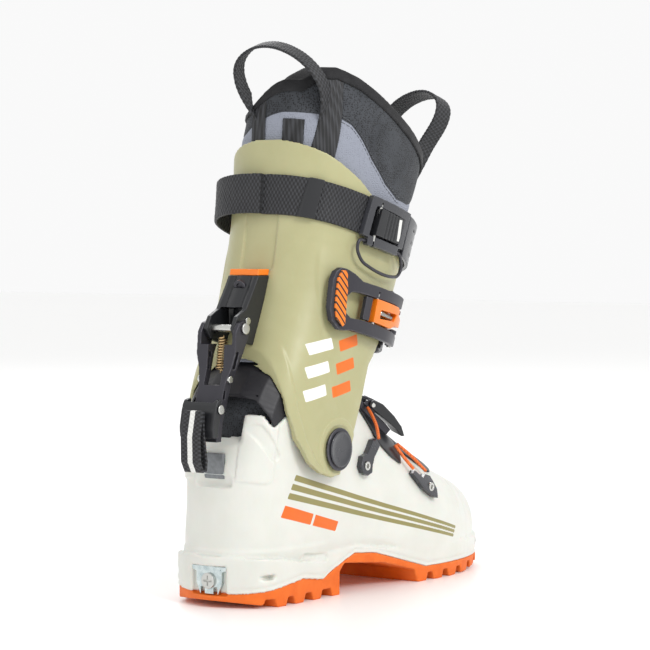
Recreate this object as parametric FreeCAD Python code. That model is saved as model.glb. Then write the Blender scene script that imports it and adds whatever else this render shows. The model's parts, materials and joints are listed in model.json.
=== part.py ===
import FreeCAD, Part

import math
import os

from FreeCAD import Vector

# Ski-touring boot, right foot. Millimetres. +X to the toe, +Y to the inner side, +Z up.
# The origin is the middle of the second heel lug, on the face that touches the ground.

# ---- driving dimensions ----------------------------------------------------
HEEL_X = -46.0              # rearmost point of the sole
TOE_X = 238.0               # foremost point of the sole
PIVOT_X = 28.0              # cuff hinge axis, along Y
PIVOT_Z = 96.0
CUFF_LEAN = 13.0            # degrees that the leg leans forward
SHELL_WALL = 4.0
CUFF_WALL = 3.5
LINER_WALL = 7.0
WALL_GAP = 1.0              # liner to shell
CUFF_BACK = 17.0            # degrees of rearward sweep that the shell leaves free
CUFF_FORWARD = 27.0         # the same, forward
SWEEP_R = 68.3              # the shell's ankle stays inside this radius about the hinge
RUNNING_GAP = 0.6           # cuff to ankle, over the whole sweep
LINER_SPLIT_R = 70.0        # the cuff's liner starts at this radius
LUG_DEPTH = 5.5
LUG_RAMP = 2.0
WEBBING = 1.8
PIN_GAP = 0.05

LOOP_POINTS = 28
ANKLE_PROFILE = [(0, 42.0), (25, 42.0), (44, 38.5), (57, 34.0), (65, 26.0), (SWEEP_R, 12.0)]

# Sole outline seen from above: (x, y).
OUTLINE = [(-46, -10), (-37, -29), (-21, -37), (14, -38), (44, -38), (74, -42), (104, -46),
           (139, -49.5), (169, -49), (194, -44), (216, -34), (229, -20), (238, 3), (229, 24),
           (216, 36), (194, 43), (169, 46.5), (139, 47), (104, 43), (74, 39), (44, 37),
           (14, 38), (-21, 37), (-37, 29), (-46, 10)]

# Where the rubber meets the white shell, seen from the side: (x, z).
RUBBER_TOP = [(-50, 8.3), (3, 15.6), (26, 12.3), (44, 19.5), (59, 25.5), (78, 24.0),
              (130, 9.7), (244, 9.3)]

# Foot sections, each in a plane through B (sole) and T (instep):
# B x, B z, T x, T z, outer half width, inner half width, widest at, lower and upper roundness.
FOOT = [(233, 12, 231, 33, 9, 14, .45, 3, 2.4),
        (229, 11, 226, 44, 19, 23, .42, 4, 2.4),
        (222, 10, 218, 54, 28, 31, .40, 5, 2.4),
        (212, 9.5, 208, 60.5, 35, 36.5, .38, 6, 2.4),
        (199, 9, 195, 66, 41, 41, .38, 6, 2.3),
        (176, 9, 171, 75, 47.5, 46, .36, 6, 2.2),
        (144, 9, 138, 92, 50, 48, .34, 6, 2.1),
        (114, 13, 112, 108, 48, 45, .34, 6, 2),
        (84, 20, 94, 122, 44, 42, .36, 5, 2),
        (52, 17, 83, 133, 41, 41, .38, 4, 2),
        (16, 12, 76, 142, 40, 40, .40, 3.5, 2),
        (-16, 8, 71, 150, 39, 39, .42, 3, 2),
        (-40, 12, 67, 157, 38.5, 38.5, .44, 2.6, 2),
        (-44, 40, 64, 163, 38.5, 38.5, .46, 2.4, 2),
        (-43, 70, 61, 168, 40, 40, .5, 2.3, 2),
        (-38, 100, 57, 172, 42, 42, .5, 2.2, 2)]
FOOT_ABOVE = (-28, 128, 55, 190, 42, 42, .5, 2.2, 2)
FLOOR_RISE = [6, 6, 7, 8, 8, 8, 8, 8, 8, 9, 12, 14, 11, 9, 14, 10, 10]

# Leg sections across the lean: height q, rear and front reach p, outer and inner y, roundness.
LEG = [(-28, -60, 46, -47, 47, 3.4),
       (0, -60, 50, -47, 47, 3.4),
       (40, -59.5, 55, -48, 47.5, 2.9),
       (80, -53, 60, -49, 47, 2.5),
       (120, -50, 68, -51, 48, 2.4),
       (160, -54, 76, -54, 50, 2.3),
       (200, -60, 86, -57, 52, 2.3)]
LINER_TOP = [(216, -62, 88, -56, 51, 2.2), (245, -61, 80, -50, 48, 2.2)]

# Cuff edges seen from the side: (x, z) below, (p, q) above.
TAB_REAR = [(-15.5, 162), (-16.5, 140), (-15.5, 122), (-11.3, 104.6), (-1.5, 89.4), (8.7, 82.5)]
TAB_FRONT = [(20.9, 78.7), (31, 80), (39, 86.8), (45, 101), (50.6, 113.4), (54.5, 125),
             (62, 148), (76, 161), (91.4, 173), (112, 184)]
CUFF_TOP = [(-80, 193), (-59, 190), (-41, 183), (-28, 176.5), (-19, 172), (-4, 163.5),
            (9, 156.5), (25, 150), (95, 146)]
LINER_EDGE = [(-80, 226), (-54, 228), (-47, 238), (-39, 240), (-24, 237), (6, 226),
              (57, 208), (72, 203), (95, 200)]


# ---- small helpers ---------------------------------------------------------
def rad(degrees):
    return math.radians(degrees)


def leg_point(p, y, q):
    """Leg coordinates (p forward, q up along the lean) to the boot's own axes."""
    c, s = math.cos(rad(CUFF_LEAN)), math.sin(rad(CUFF_LEAN))
    return Vector(PIVOT_X + p * c + q * s, y, PIVOT_Z - p * s + q * c)


def turned(points, degrees):
    """(x, z) points turned about the cuff hinge, positive forward."""
    c, s = math.cos(rad(degrees)), math.sin(rad(degrees))
    moved = []
    for x, z in points:
        dx, dz = x - PIVOT_X, z - PIVOT_Z
        moved.append((PIVOT_X + dx * c + dz * s, PIVOT_Z - dx * s + dz * c))
    return moved


def power(value, exponent):
    return math.copysign(abs(value) ** exponent, value)


def closed_wire(points):
    curve = Part.BSplineCurve()
    curve.interpolate(Points=points, PeriodicFlag=True, Parameters=list(range(len(points) + 1)))
    return Part.Wire(curve.toShape())


def foot_loop(station, sides=0.0, sole=0.0, instep=0.0):
    """One foot section, taken in by the given amounts at its sides, sole and instep."""
    bx, bz, tx, tz, outer, inner, widest, n_low, n_high = station
    start, end = Vector(bx, 0, bz), Vector(tx, 0, tz)
    along = (end - start).normalize()
    start, end = start + along * sole, end - along * instep
    length = (end - start).Length
    points = []
    for i in range(LOOP_POINTS):
        angle = 2 * math.pi * i / LOOP_POINTS
        c, s = math.cos(angle), math.sin(angle)
        n = n_high if c >= 0 else n_low
        reach = (1 - widest) if c >= 0 else widest
        half = (inner if s >= 0 else outer) - sides
        up = widest + power(c, 2 / n) * reach
        point = start + along * (up * length)
        points.append(Vector(point.x, half * power(s, 2 / n), point.z))
    return points


def leg_loop(section, grow=0.0):
    q, rear, front, outer, inner, n = section
    middle_p, middle_y = (rear + front) / 2, (outer + inner) / 2
    half_p, half_y = (front - rear) / 2 + grow, (inner - outer) / 2 + grow
    points = []
    for i in range(LOOP_POINTS):
        angle = 2 * math.pi * i / LOOP_POINTS
        p = middle_p + half_p * power(math.cos(angle), 2 / n)
        y = middle_y + half_y * power(math.sin(angle), 2 / n)
        points.append(leg_point(p, y, q))
    return points


def lofted(loops):
    """A solid whose skin passes smoothly through closed loops with equal numbers of points."""
    gaps = [sum((p - q).Length for p, q in zip(a, b)) / len(a) for a, b in zip(loops, loops[1:])]
    places = [sum(gaps[:i]) for i in range(len(loops))]
    rounds = []
    for loop in loops:
        ring = Part.BSplineCurve()
        ring.interpolate(Points=loop, PeriodicFlag=True, Parameters=list(range(len(loop) + 1)))
        rounds.append(ring)
    columns = []
    for column in zip(*[ring.getPoles() for ring in rounds]):
        rail = Part.BSplineCurve()
        rail.interpolate(Points=list(column), Parameters=places)
        columns.append(rail)
    skin = Part.BSplineSurface()
    skin.buildFromPolesMultsKnots([rail.getPoles() for rail in columns],
                                  rounds[0].getMultiplicities(), columns[0].getMultiplicities(),
                                  rounds[0].getKnots(), columns[0].getKnots(),
                                  True, False, 3, columns[0].Degree)
    side = skin.toShape()
    ends = [Part.Face(Part.Wire(ring.toShape())) for ring in (rounds[0], rounds[-1])]
    shell = Part.Shell([side] + ends)
    shell.sewShape()
    body = Part.Solid(shell)
    if body.Volume < 0:
        body.reverse()
    return body


def leg_body(grow):
    return lofted([leg_loop(s, grow) for s in LEG + LINER_TOP])


def foot_body(sides, soles, instep, stations):
    return lofted([foot_loop(s, sides, sole, instep) for s, sole in zip(stations, soles)])


def side_prism(points, low=-90.0, high=90.0):
    """A polygon drawn in the XZ plane, between two values of y."""
    corners = [Vector(x, low, z) for x, z in points]
    face = Part.Face(Part.makePolygon(corners + corners[:1]))
    return face.extrude(Vector(0, high - low, 0))


def leg_prism(points, low=-90.0, high=90.0):
    """The same for (p, q) points."""
    flat = [leg_point(p, 0, q) for p, q in points]
    return side_prism([(v.x, v.z) for v in flat], low, high)


def block(x0, x1, y0, y1, z0, z1):
    return Part.makeBox(x1 - x0, y1 - y0, z1 - z0, Vector(x0, y0, z0))


def rod(start, end, radius):
    axis = Vector(*end) - Vector(*start)
    return Part.makeCylinder(radius, axis.Length, Vector(*start), axis)


def fused(shapes):
    whole = shapes[0]
    for shape in shapes[1:]:
        whole = whole.fuse(shape)
    return whole.removeSplitter()


def hinge_solid(profile, grow=0.0):
    """A solid of revolution about the cuff hinge from (radius, half width) pairs."""
    outer = [(r, y + grow) for r, y in profile]
    outer[-1] = (outer[-1][0] + grow, outer[-1][1])
    upper = [Vector(PIVOT_X + r, y, PIVOT_Z) for r, y in outer]
    lower = [Vector(PIVOT_X + r, -y, PIVOT_Z) for r, y in reversed(outer)]
    face = Part.Face(Part.makePolygon(upper + lower + upper[:1]))
    return face.revolve(Vector(PIVOT_X, 0, PIVOT_Z), Vector(0, 1, 0), 360)


def hinge_disc(radius):
    return Part.makeCylinder(radius, 200, Vector(PIVOT_X, -100, PIVOT_Z), Vector(0, 1, 0))


def tube(points, radius):
    """A round bar along straight runs joined by tangent arcs."""
    knots = [Vector(*p) for p in points]
    edges, at = [], knots[0]
    for before, corner, after in zip(knots, knots[1:], knots[2:]):
        a, b = (before - corner).normalize(), (after - corner).normalize()
        run = 0.45 * min((before - corner).Length, (after - corner).Length)
        middle = (a + b).normalize()
        half = math.acos(max(-1.0, min(1.0, a.dot(b)))) / 2
        inset = run / math.cos(half) - run * math.tan(half)
        p0, p1, p2 = corner + a * run, corner + middle * inset, corner + b * run
        edges.append(Part.LineSegment(at, p0).toShape())
        edges.append(Part.Arc(p0, p1, p2).toShape())
        at = p2
    edges.append(Part.LineSegment(at, knots[-1]).toShape())
    path = Part.Wire(edges)
    ring = Part.Wire(Part.makeCircle(radius, knots[0], knots[1] - knots[0]))
    return path.makePipeShell([ring], True, True)


# ---- shared bodies ---------------------------------------------------------
def sole_prism():
    points = [Vector(x, y, -5) for x, y in OUTLINE]
    return Part.Face(closed_wire(points)).extrude(Vector(0, 0, 60))


def sweep_zone():
    """The side-view area that the cuff and its tabs pass over."""
    rear = turned(TAB_REAR, -CUFF_BACK)
    front = turned(TAB_FRONT, CUFF_FORWARD)
    return side_prism([(-120, 260)] + [(-60, 150)] + rear + front + [(160, 260)])


def above_rubber(top):
    low = [(x, z) for x, z in RUBBER_TOP]
    return side_prism(low + [(260, top), (-60, top)])


SOLE = sole_prism()
FOOT_OUTER = foot_body(0, [0] * len(FOOT), 0, FOOT)
FOOT_TALL = FOOT + [FOOT_ABOVE]
SWEEP = sweep_zone()
ANKLE = hinge_solid(ANKLE_PROFILE)


def foot_inset(depth):
    """The space inside the shell, taken in by depth from the shell's outer face."""
    tip = FOOT[0][0] - depth
    cap = (tip - 1, 13 + depth, tip - 3, 44 - depth * .7, 19 - depth * .6, 23 - depth * .6,
           .42, 3, 2.4)
    loops = [foot_loop(cap)]
    side = min(depth, 11)
    for station, rise in zip(FOOT_TALL, FLOOR_RISE):
        if station[0] < tip - 7:
            loops.append(foot_loop(station, side, rise + depth - SHELL_WALL, depth))
    return lofted(loops)


FOOT_CAVITY = foot_inset(SHELL_WALL)


# Raised heel corners beside the lock, seen from the side: (x, z).
SHOULDER = [(-60, 83.4), (-60, 117.5), (-36, 119.5), (-25, 120.5), (-18, 126), (-18, 114.4)]
SHOULDER_HALF = 16.5            # half width of the gap between them


def heel_shoulder(grow):
    tall = foot_body(-grow, [-grow] * len(FOOT_TALL), -grow, FOOT_TALL)
    corner = tall.common(side_prism(SHOULDER)).cut(SWEEP)
    half = SHOULDER_HALF - grow
    return corner.cut(block(-80, 0, -half, half, 80, 140))


# ---- lower boot ------------------------------------------------------------
def lug_gap(x0, x1, base):
    """One gap between two lugs, cut in from both sides of the tread."""
    top = base + LUG_DEPTH
    shape = [(x0, base - 6), (x0, base), (x0 + LUG_RAMP, top), (x1 - LUG_RAMP, top),
             (x1, base), (x1, base - 6)]
    return [side_prism(shape, -70, -13), side_prism(shape, 13, 70)]


def make_outsole():
    under = [(-50, 5), (-33, 2.0), (-24, 0), (44, 0), (44, 15), (49, 20), (87, 16.6),
             (118, 8.5), (121, 0), (172, 0), (190, 1.2), (206, 3.2), (220, 5.4), (244, 9.0)]
    profile = side_prism(under + list(reversed(RUBBER_TOP)))
    sole = SOLE.common(profile)
    heel_gaps = [(-33, -22, 0), (-14, -4.5, 0), (4.5, 15, 0), (23, 36, 0)]
    toe_gaps = [(130, 139, 0), (148, 157, 0), (166, 175, 0), (184, 193, 1.0),
                (202, 210, 2.6)]
    for x0, x1, base in heel_gaps + toe_gaps:
        for cutter in lug_gap(x0, x1, base):
            sole = sole.cut(cutter)
    return sole.cut(HEEL_POCKET)


HEEL_POCKET = block(HEEL_X - 5, HEEL_X + 4.2, -13.7, 13.7, 7.5, 26.3)


def make_lower_shell():
    base_top = [(-60, 33), (-19, 30), (0, 26), (60, 30), (120, 22), (180, 23), (260, 23)]
    base = SOLE.common(side_prism([(-60, 0), (260, 0)] + list(reversed(base_top))))
    shell = FOOT_OUTER.fuse(base).fuse(heel_shoulder(0)).common(above_rubber(260))
    shell = shell.cut(SWEEP.cut(ANKLE))
    shell = shell.cut(FOOT_CAVITY)
    channel = block(-70, -20, -14, 14, CHANNEL_FLOOR, 125).cut(hinge_disc(SWEEP_R + 0.7))
    crampon = block(HEEL_X - 10, -24, -60, 60, 17.5, 21).cut(block(HEEL_X - 10, 0, -31, 31, 0, 40))
    shell = shell.cut(channel).cut(HEEL_POCKET).cut(crampon)
    for x, y, z, length in heel_screw_holes() + toe_holes():
        axis = Vector(1, 0, 0) if y == 0 else Vector(0, math.copysign(1, -y), 0)
        shell = shell.cut(Part.makeCylinder(length[0], length[1], Vector(x, y, z), axis))
    return shell.cut(pivot_shafts(0)).cut(make_lock_plate())


CHANNEL_FLOOR = 75.0


def heel_screw_holes():
    return [(HEEL_X, 0, 16.5, (3.0, 16.0))]


def toe_holes():
    return [(216, -50, 16.5, (5.0, 26.0)), (216, 50, 16.5, (5.0, 26.0))]


def make_heel_insert():
    """Bent steel plate that takes the binding's heel pins."""
    top, foot = 25.8, 8.0
    outline = [(-13.3, top), (13.3, top), (13.3, 23.3), (10, 22), (10, 15), (7, foot),
               (-7, foot), (-10, 15), (-10, 22), (-13.3, 23.3)]
    corners = [Vector(HEEL_X + 1, y, z) for y, z in outline]
    plate = Part.Face(Part.makePolygon(corners + corners[:1])).extrude(Vector(3.2, 0, 0))
    slots = [block(HEEL_X, HEEL_X + 5, side - 1.6, side + 1.6, 6, 12.5) for side in (-5, 5)]
    for slot in slots:
        plate = plate.cut(slot)
    return plate.cut(rod((HEEL_X, 0, 16.5), (HEEL_X + 6, 0, 16.5), 3.0))


def make_heel_screw():
    shank = rod((HEEL_X + 1.0, 0, 16.5), (HEEL_X + 15.5, 0, 16.5), 2.95)
    head = rod((HEEL_X - 0.6, 0, 16.5), (HEEL_X + 1.0, 0, 16.5), 5.0)
    slots = [block(HEEL_X - 1, HEEL_X + 0.4, -3.2, 3.2, 16.0, 17.0),
             block(HEEL_X - 1, HEEL_X + 0.4, -0.5, 0.5, 13.3, 19.7)]
    return fused([shank, head]).cut(slots[0]).cut(slots[1])


TECH_Y = (-31.5, 34.0)      # outer faces of the two toe sockets
SOCKET_DEPTH = 5.6


def toe_sockets(gap):
    bodies = []
    for face in TECH_Y:
        inward = math.copysign(1, -face)
        end = face + (SOCKET_DEPTH + gap) * inward
        bodies.append(rod((216, face, 16.5), (216, end, 16.5), 4.95 + gap))
    return Part.makeCompound(bodies)


def make_toe_inserts():
    """Two hardened sockets for the binding's toe pins."""
    parts = []
    for face in TECH_Y:
        inward = math.copysign(1, -face)
        body = rod((216, face, 16.5), (216, face + SOCKET_DEPTH * inward, 16.5), 4.95)
        hole = rod((216, face - inward, 16.5), (216, face + 4 * inward, 16.5), 2.5)
        parts.append(body.cut(hole))
    return Part.makeCompound(parts)


FLOOR = [(-60, 36), (60, 33), (120, 23.6), (260, 21.6)]


def band(low, high):
    """Side-view band between the boot's floor raised by low and by high."""
    bottom = [(x, z + low) for x, z in FLOOR]
    top = [(x, z + high) for x, z in reversed(FLOOR)]
    return side_prism(bottom + top)


def make_boot_board():
    board = foot_inset(SHELL_WALL + .4).common(band(-30, 0)).cut(toe_sockets(.2))
    return max(board.Solids, key=lambda solid: solid.Volume)


def ankle_core(shrink):
    profile = [(r if i < 5 else r - shrink, y - shrink)
               for i, (r, y) in enumerate(ANKLE_PROFILE)]
    return leg_body(-CUFF_WALL - 1.5 - shrink).common(hinge_solid(profile))


def make_liner_foot():
    outer = foot_inset(SHELL_WALL + WALL_GAP).common(band(.4, 300))
    inner = foot_inset(SHELL_WALL + WALL_GAP + LINER_WALL - 1).common(band(6, 300))
    limit = SWEEP.cut(hinge_solid([(r, y - 2.6) for r, y in ANKLE_PROFILE[:5]] + [(65.4, 9)]))
    ankle = ankle_core(2.8).common(side_prism([(-70, 96), (-60, 260), (160, 260), (160, 60)]))
    hollow = leg_body(-CUFF_WALL - 11).common(side_prism([(-70, 90), (-60, 260), (160, 260),
                                                          (160, 60)]))
    foot = outer.cut(inner).cut(limit)
    wall = foot_body(-.4, [-.4] * len(FOOT), -.4, FOOT).cut(foot_inset(SHELL_WALL + WALL_GAP))
    corner = heel_shoulder(.4).cut(foot_inset(SHELL_WALL + WALL_GAP))
    liner = foot.fuse(ankle.cut(hollow).cut(inner)).cut(hollow).cut(wall).cut(corner)
    return max(liner.cut(toe_sockets(.3)).Solids, key=lambda solid: solid.Volume)


def make_insole():
    return foot_inset(SHELL_WALL + WALL_GAP + LINER_WALL - .6).common(band(6.5, 10))


def make_gaiter():
    """Rubber bellows that closes the gap between shell and cuff."""
    inner = hinge_solid([(r, y - 2) for r, y in ANKLE_PROFILE[:5]] + [(66.3, 10)])
    cap = ANKLE.cut(inner).common(SWEEP)
    foot = foot_body(-.3, [-.3] * len(FOOT), -.3, FOOT)
    keep = side_prism([(-60, 96), (-38, 100.5), (57, 172.6), (100, 205), (100, 260), (-60, 260)])
    cap = cap.cut(foot).cut(heel_shoulder(.3)).common(keep)
    return cap.cut(hinge_disc(24)).cut(leg_body(-CUFF_WALL - 11))


RIVET_IN = 37.2


def pivot_shafts(gap):
    shafts = [rod((PIVOT_X, side * 47.6, PIVOT_Z), (PIVOT_X, side * 34, PIVOT_Z), 6 + gap)
              for side in (-1, 1)]
    return Part.makeCompound(shafts)


def make_pivot_rivets():
    parts = []
    for side in (-1, 1):
        stem = rod((PIVOT_X, side * RIVET_IN, PIVOT_Z), (PIVOT_X, side * 47.6, PIVOT_Z), 6)
        head = rod((PIVOT_X, side * 47.6, PIVOT_Z), (PIVOT_X, side * 49.4, PIVOT_Z), 13.8)
        parts.append(fused([stem, head]))
    return Part.makeCompound(parts)


def make_pivot_caps():
    parts = []
    for side in (-1, 1):
        disc = rod((PIVOT_X, side * 49.4, PIVOT_Z), (PIVOT_X, side * 50.6, PIVOT_Z), 11.5)
        dish = Part.makeSphere(60, Vector(PIVOT_X, side * (50.1 + 59.8), PIVOT_Z))
        parts.append(disc.cut(dish))
    return Part.makeCompound(parts)


def make_lock_plate():
    """Steel catch on the heel spine that the lock arm drops onto."""
    plate = block(-41.5, -36.0, -8, 8, 80, 96).common(hinge_disc(SWEEP_R + .5))
    return plate.cut(FOOT_OUTER_CHANNEL)


FOOT_OUTER_CHANNEL = hinge_disc(SWEEP_R - 2.2)


# ---- cuff ------------------------------------------------------------------
def cuff_side():
    low = TAB_REAR + TAB_FRONT
    top = [leg_point(p, 0, q) for p, q in reversed(CUFF_TOP)]
    return side_prism(low + [(v.x, v.z) for v in top] + [(-30, 164)])


def make_cuff_shell():
    cuff = leg_body(0).cut(leg_body(-CUFF_WALL))
    cuff = cuff.common(cuff_side())
    cuff = cuff.cut(hinge_solid(ANKLE_PROFILE, RUNNING_GAP))
    split = leg_prism([(30, -20), (130, -20), (130, 220), (30, 220)], 4, 8)
    return cuff.cut(split).cut(pivot_shafts(PIN_GAP))


def leg_shell(near, far, side):
    """A layer that follows the leg between two distances from the cuff's face."""
    return leg_body(far).cut(leg_body(near)).common(side)


def outer_point(p, q, off):
    """A point off the cuff's outer face, on the outer side of the leg."""
    for low, high in zip(LEG, LEG[1:]):
        if low[0] <= q <= high[0]:
            share = (q - low[0]) / (high[0] - low[0])
            rear, front, outer, inner, n = [a + (b - a) * share for a, b in zip(low[1:], high[1:])]
    half_p, half_y = (front - rear) / 2, (inner - outer) / 2
    u = (p - (front + rear) / 2) / half_p
    v = (1 - abs(u) ** n) ** (1 / n)
    slope_p, slope_y = power(u, n - 1) / half_p, v ** (n - 1) / half_y
    size = math.hypot(slope_p, slope_y)
    y = (inner + outer) / 2 - half_y * v
    return leg_point(p + off * slope_p / size, y - off * slope_y / size, q)


STRAP_WIDTH = 25.0
STRAP_Q = 154.3             # height of its middle line at the heel spine
STRAP_FALL = 0.09           # how much that line drops towards the front
OVER_STRAP = 2.6            # hardware starts at this distance from the cuff


def strap_q(p):
    return STRAP_Q - STRAP_FALL * (p + 54)


def make_power_strap():
    half = STRAP_WIDTH / 2
    low = [(p, strap_q(p) - half) for p in (-80, 110)]
    high = [(p, strap_q(p) + half) for p in (110, -80)]
    return leg_shell(.5, .5 + WEBBING, leg_prism(low + high))


def make_strap_keeper():
    side = leg_prism([(-49.5, 141), (-43.5, 140.5), (-43.5, 166), (-49.5, 166.5)], -90, 0)
    return leg_shell(OVER_STRAP, OVER_STRAP + 1.2, side)


CAM_AXIS = (outer_point(-4.3, 134, 5.2), outer_point(-2.3, 160.5, 5.2))
RING_AXIS = (outer_point(-12.6, 134, 4.6), outer_point(25.2, 134, 4.6))
CAM_PIN_R = 1.2
RING_WIRE_R = 1.1


def between(line, start, end):
    """Two points on a line through line[0] and line[1], by share of its length."""
    return [line[0] + (line[1] - line[0]) * share for share in (start, end)]


def shaft(line, start, end, radius):
    return rod(*between(line, start, end), radius)


def make_cam_frame():
    """Die-cast frame on the strap; its bars hold the cam's pin and the finger ring."""
    whole = leg_prism([(-15.5, 137), (-10.5, 136.5), (-10.5, 131.5), (23, 131.5), (23, 136.5), (29, 137),
                       (31.5, 161.5), (-12.5, 163.5)], -90, -5)
    window = leg_prism([(-10, 138), (-8, 157.5), (24.5, 156), (22.5, 137.6)], -90, -5)
    frame = leg_shell(OVER_STRAP, 6.6, whole).cut(window)
    return frame.cut(shaft(CAM_AXIS, -.2, 1.2, CAM_PIN_R)).cut(
        shaft(RING_AXIS, -.1, .16, RING_WIRE_R + PIN_GAP)).cut(
        shaft(RING_AXIS, .84, 1.1, RING_WIRE_R + PIN_GAP))


def make_cam_pin():
    return shaft(CAM_AXIS, .03, .97, CAM_PIN_R)


def make_cam_lever():
    """Ribbed cam that clamps the strap; it turns on a pin at its rear edge."""
    side = leg_prism([(-6.4, 138.8), (-4.4, 156.6), (21, 155), (19, 138.4)], -90, -5)
    cam = leg_shell(3.6, 8.6, side).cut(shaft(CAM_AXIS, -.2, 1.2, CAM_PIN_R + PIN_GAP))
    for i in range(4):
        p = 1 + 3.4 * i
        groove = leg_prism([(p, 130), (p + 1.4, 130), (p + 3.4, 162), (p + 2, 162)], -90, -5)
        cam = cam.cut(groove.cut(leg_body(7.8)))
    return cam


def make_pull_ring():
    """Wire finger ring that hangs from the frame's lower bar."""
    ends = between(RING_AXIS, .14, .86)
    low = [(-16, 127), (-10.5, 120), (3, 117), (17, 116.6), (30, 119), (34.5, 125)]
    corners = between(RING_AXIS, -.09, 1.09)
    route = [ends[0], corners[0]] + [outer_point(p, q, 5.4) for p, q in low] + [corners[1], ends[1]]
    return tube(route, RING_WIRE_R)


def make_strap_plate():
    """Slotted end plate that carries the strap round the front."""
    plate = leg_shell(OVER_STRAP, 5.0, leg_prism([(33.4, 133.5), (34.8, 161), (95, 155), (95, 127)], -60, 8))
    for q in (137, 145, 153):
        plate = plate.cut(leg_prism([(46, q), (90, q - 3), (90, q - 1), (46, q + 2)], -60, -16))
    return plate


# ---- leg lining ------------------------------------------------------------
def liner_side(depth=220.0, above=0.0):
    """Side view of the lining from its top edge (raised by above) down to depth below it."""
    top = [(p, q + above) for p, q in LINER_EDGE]
    base = [(p, q - depth) for p, q in reversed(LINER_EDGE)]
    return leg_prism(top + base)


def upper_liner():
    body = leg_body(-CUFF_WALL - WALL_GAP)
    hollow = leg_body(-CUFF_WALL - WALL_GAP - LINER_WALL)
    hip = 150
    front = side_prism([(PIVOT_X, PIVOT_Z), (PIVOT_X + hip, PIVOT_Z + hip * 1.07),
                        (160, 420), (-120, 420), (-120, PIVOT_Z + 60)])
    body = body.cut(hollow).common(liner_side()).common(front)
    return body.cut(hinge_disc(LINER_SPLIT_R))


TONGUE_ZONE = (34, -20, 24)     # p from, y from, y to


def tongue_zone(grow):
    p, y0, y1 = TONGUE_ZONE
    corners = [(p, -40), (150, -40), (150, 300), (p, 300)]
    return leg_prism(corners, y0 - grow, y1 + grow)


def make_liner_binding():
    """Folded tape over the top edge of the lining."""
    wide = leg_body(-CUFF_WALL - WALL_GAP + .9)
    narrow = leg_body(-CUFF_WALL - WALL_GAP - LINER_WALL - .9)
    tape = wide.cut(narrow).common(liner_side(6, 1.5))
    split = tongue_zone(.4).cut(tongue_zone(.01))
    return tape.cut(upper_liner_edge()).cut(split)


def upper_liner_edge():
    body = leg_body(-CUFF_WALL - WALL_GAP)
    hollow = leg_body(-CUFF_WALL - WALL_GAP - LINER_WALL)
    return body.cut(hollow).common(liner_side(20))


def ribbon(route, foot_a, foot_b, rise, width):
    """Webbing that follows a flat route of (along, up) points between two feet."""
    start = Vector(*foot_a)
    along = (Vector(*foot_b) - start).normalize()
    up = Vector(*rise)
    up = (up - along * up.dot(along)).normalize()
    across = along.cross(up)
    faces = []
    for offset in (WEBBING / 2, -WEBBING / 2):
        shifted = []
        for i, (s, t) in enumerate(route):
            before, after = route[max(i - 1, 0)], route[min(i + 1, len(route) - 1)]
            ds, dt = after[0] - before[0], after[1] - before[1]
            size = math.hypot(ds, dt)
            shifted.append(start + along * (s - dt / size * offset)
                           + up * (t + ds / size * offset) - across * (width / 2))
        curve = Part.BSplineCurve()
        curve.interpolate(shifted)
        faces.append((curve.toShape(), shifted))
    (outer, a), (inner, b) = faces
    edges = [outer, Part.makeLine(a[-1], b[-1]), inner, Part.makeLine(b[0], a[0])]
    wire = Part.Wire(Part.sortEdges(edges)[0])
    return Part.Face(wire).extrude(across * width)


LOOP_WIDTH = 14.0
REAR_ROUTE = [(13, -17), (5, -5), (-1, 6), (-4, 16), (-3, 27), (6, 36), (20, 39), (36, 34), (48, 24),
              (55, 10), (55, 0), (51, -12)]
FRONT_ROUTE = [(-9, -20), (-8, 0), (-3, 20), (9, 36), (26, 43), (42, 41), (51, 32), (50, 20), (43, 7),
               (39, -2), (33, -16)]


def make_rear_loop():
    loop = ribbon(REAR_ROUTE, (22, 19, 341 - 24), (33, -39, 317), (-13, 5, 42), LOOP_WIDTH)
    return max(loop.cut(LINER_GUARD).Solids, key=lambda solid: solid.Volume)


def make_front_loop():
    loop = ribbon(FRONT_ROUTE, (148, 2, 286), (141, -40, 288), (14, -9, 44), LOOP_WIDTH)
    return max(loop.cut(LINER_GUARD).Solids, key=lambda solid: solid.Volume)


def make_side_webbing():
    """Webbing sewn to the lining under the rear pull loop, and a short tab between its legs."""
    inner = -CUFF_WALL - WALL_GAP
    layer = leg_body(inner + .85).cut(leg_body(inner + .1))
    outer_leg = leg_prism([(-47, 181), (-35.5, 181), (-35, 236), (-46.5, 236)], -90, -10)
    rear_leg = leg_prism([(-80, 181), (-40, 181), (-40, 223), (-80, 223)], 3, 15)
    tab = leg_prism([(-80, 181), (-40, 181), (-40, 204), (-80, 204)], -24.5, -10.5)
    return layer.common(outer_leg.fuse(rear_leg).fuse(tab)).common(liner_side(220, -6.4))


LINER_GUARD = leg_body(-CUFF_WALL - WALL_GAP + 1.0).common(liner_side(300, 1.6))


# ---- walk and ski lock -----------------------------------------------------
ARM_PIVOT = (-28.0, 174.0)
ARM_HALF = 12.0


def make_spine_bracket():
    """Channel riveted to the back of the cuff; the lock arm hangs from its ears."""
    side = [(20, 206.8), (-9, 206.8), (-13, 200), (-22, 186), (-31, 181.5), (-35, 174), (-31, 167.5),
            (-24, 165), (-15, 163), (20, 163)]
    body = side_prism(side, -ARM_HALF, ARM_HALF).cut(leg_body(.05))
    throat = side_prism([(-60, 192), (-12, 186), (-12.5, 150), (-60, 150)], -9, 9)
    body = body.cut(throat)
    return body.cut(rod((-28, -30, 174), (-28, 30, 174), 2.5)).cut(
        rod((-13.3, 0, 199.37), (-11.2, 0, 200.0), 4.65))


def make_bracket_trim():
    band_side = side_prism([(20, 211), (-8, 211), (-8.7, 207), (20, 207)], -11.4, 11.4)
    return band_side.cut(leg_body(.05))


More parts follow.
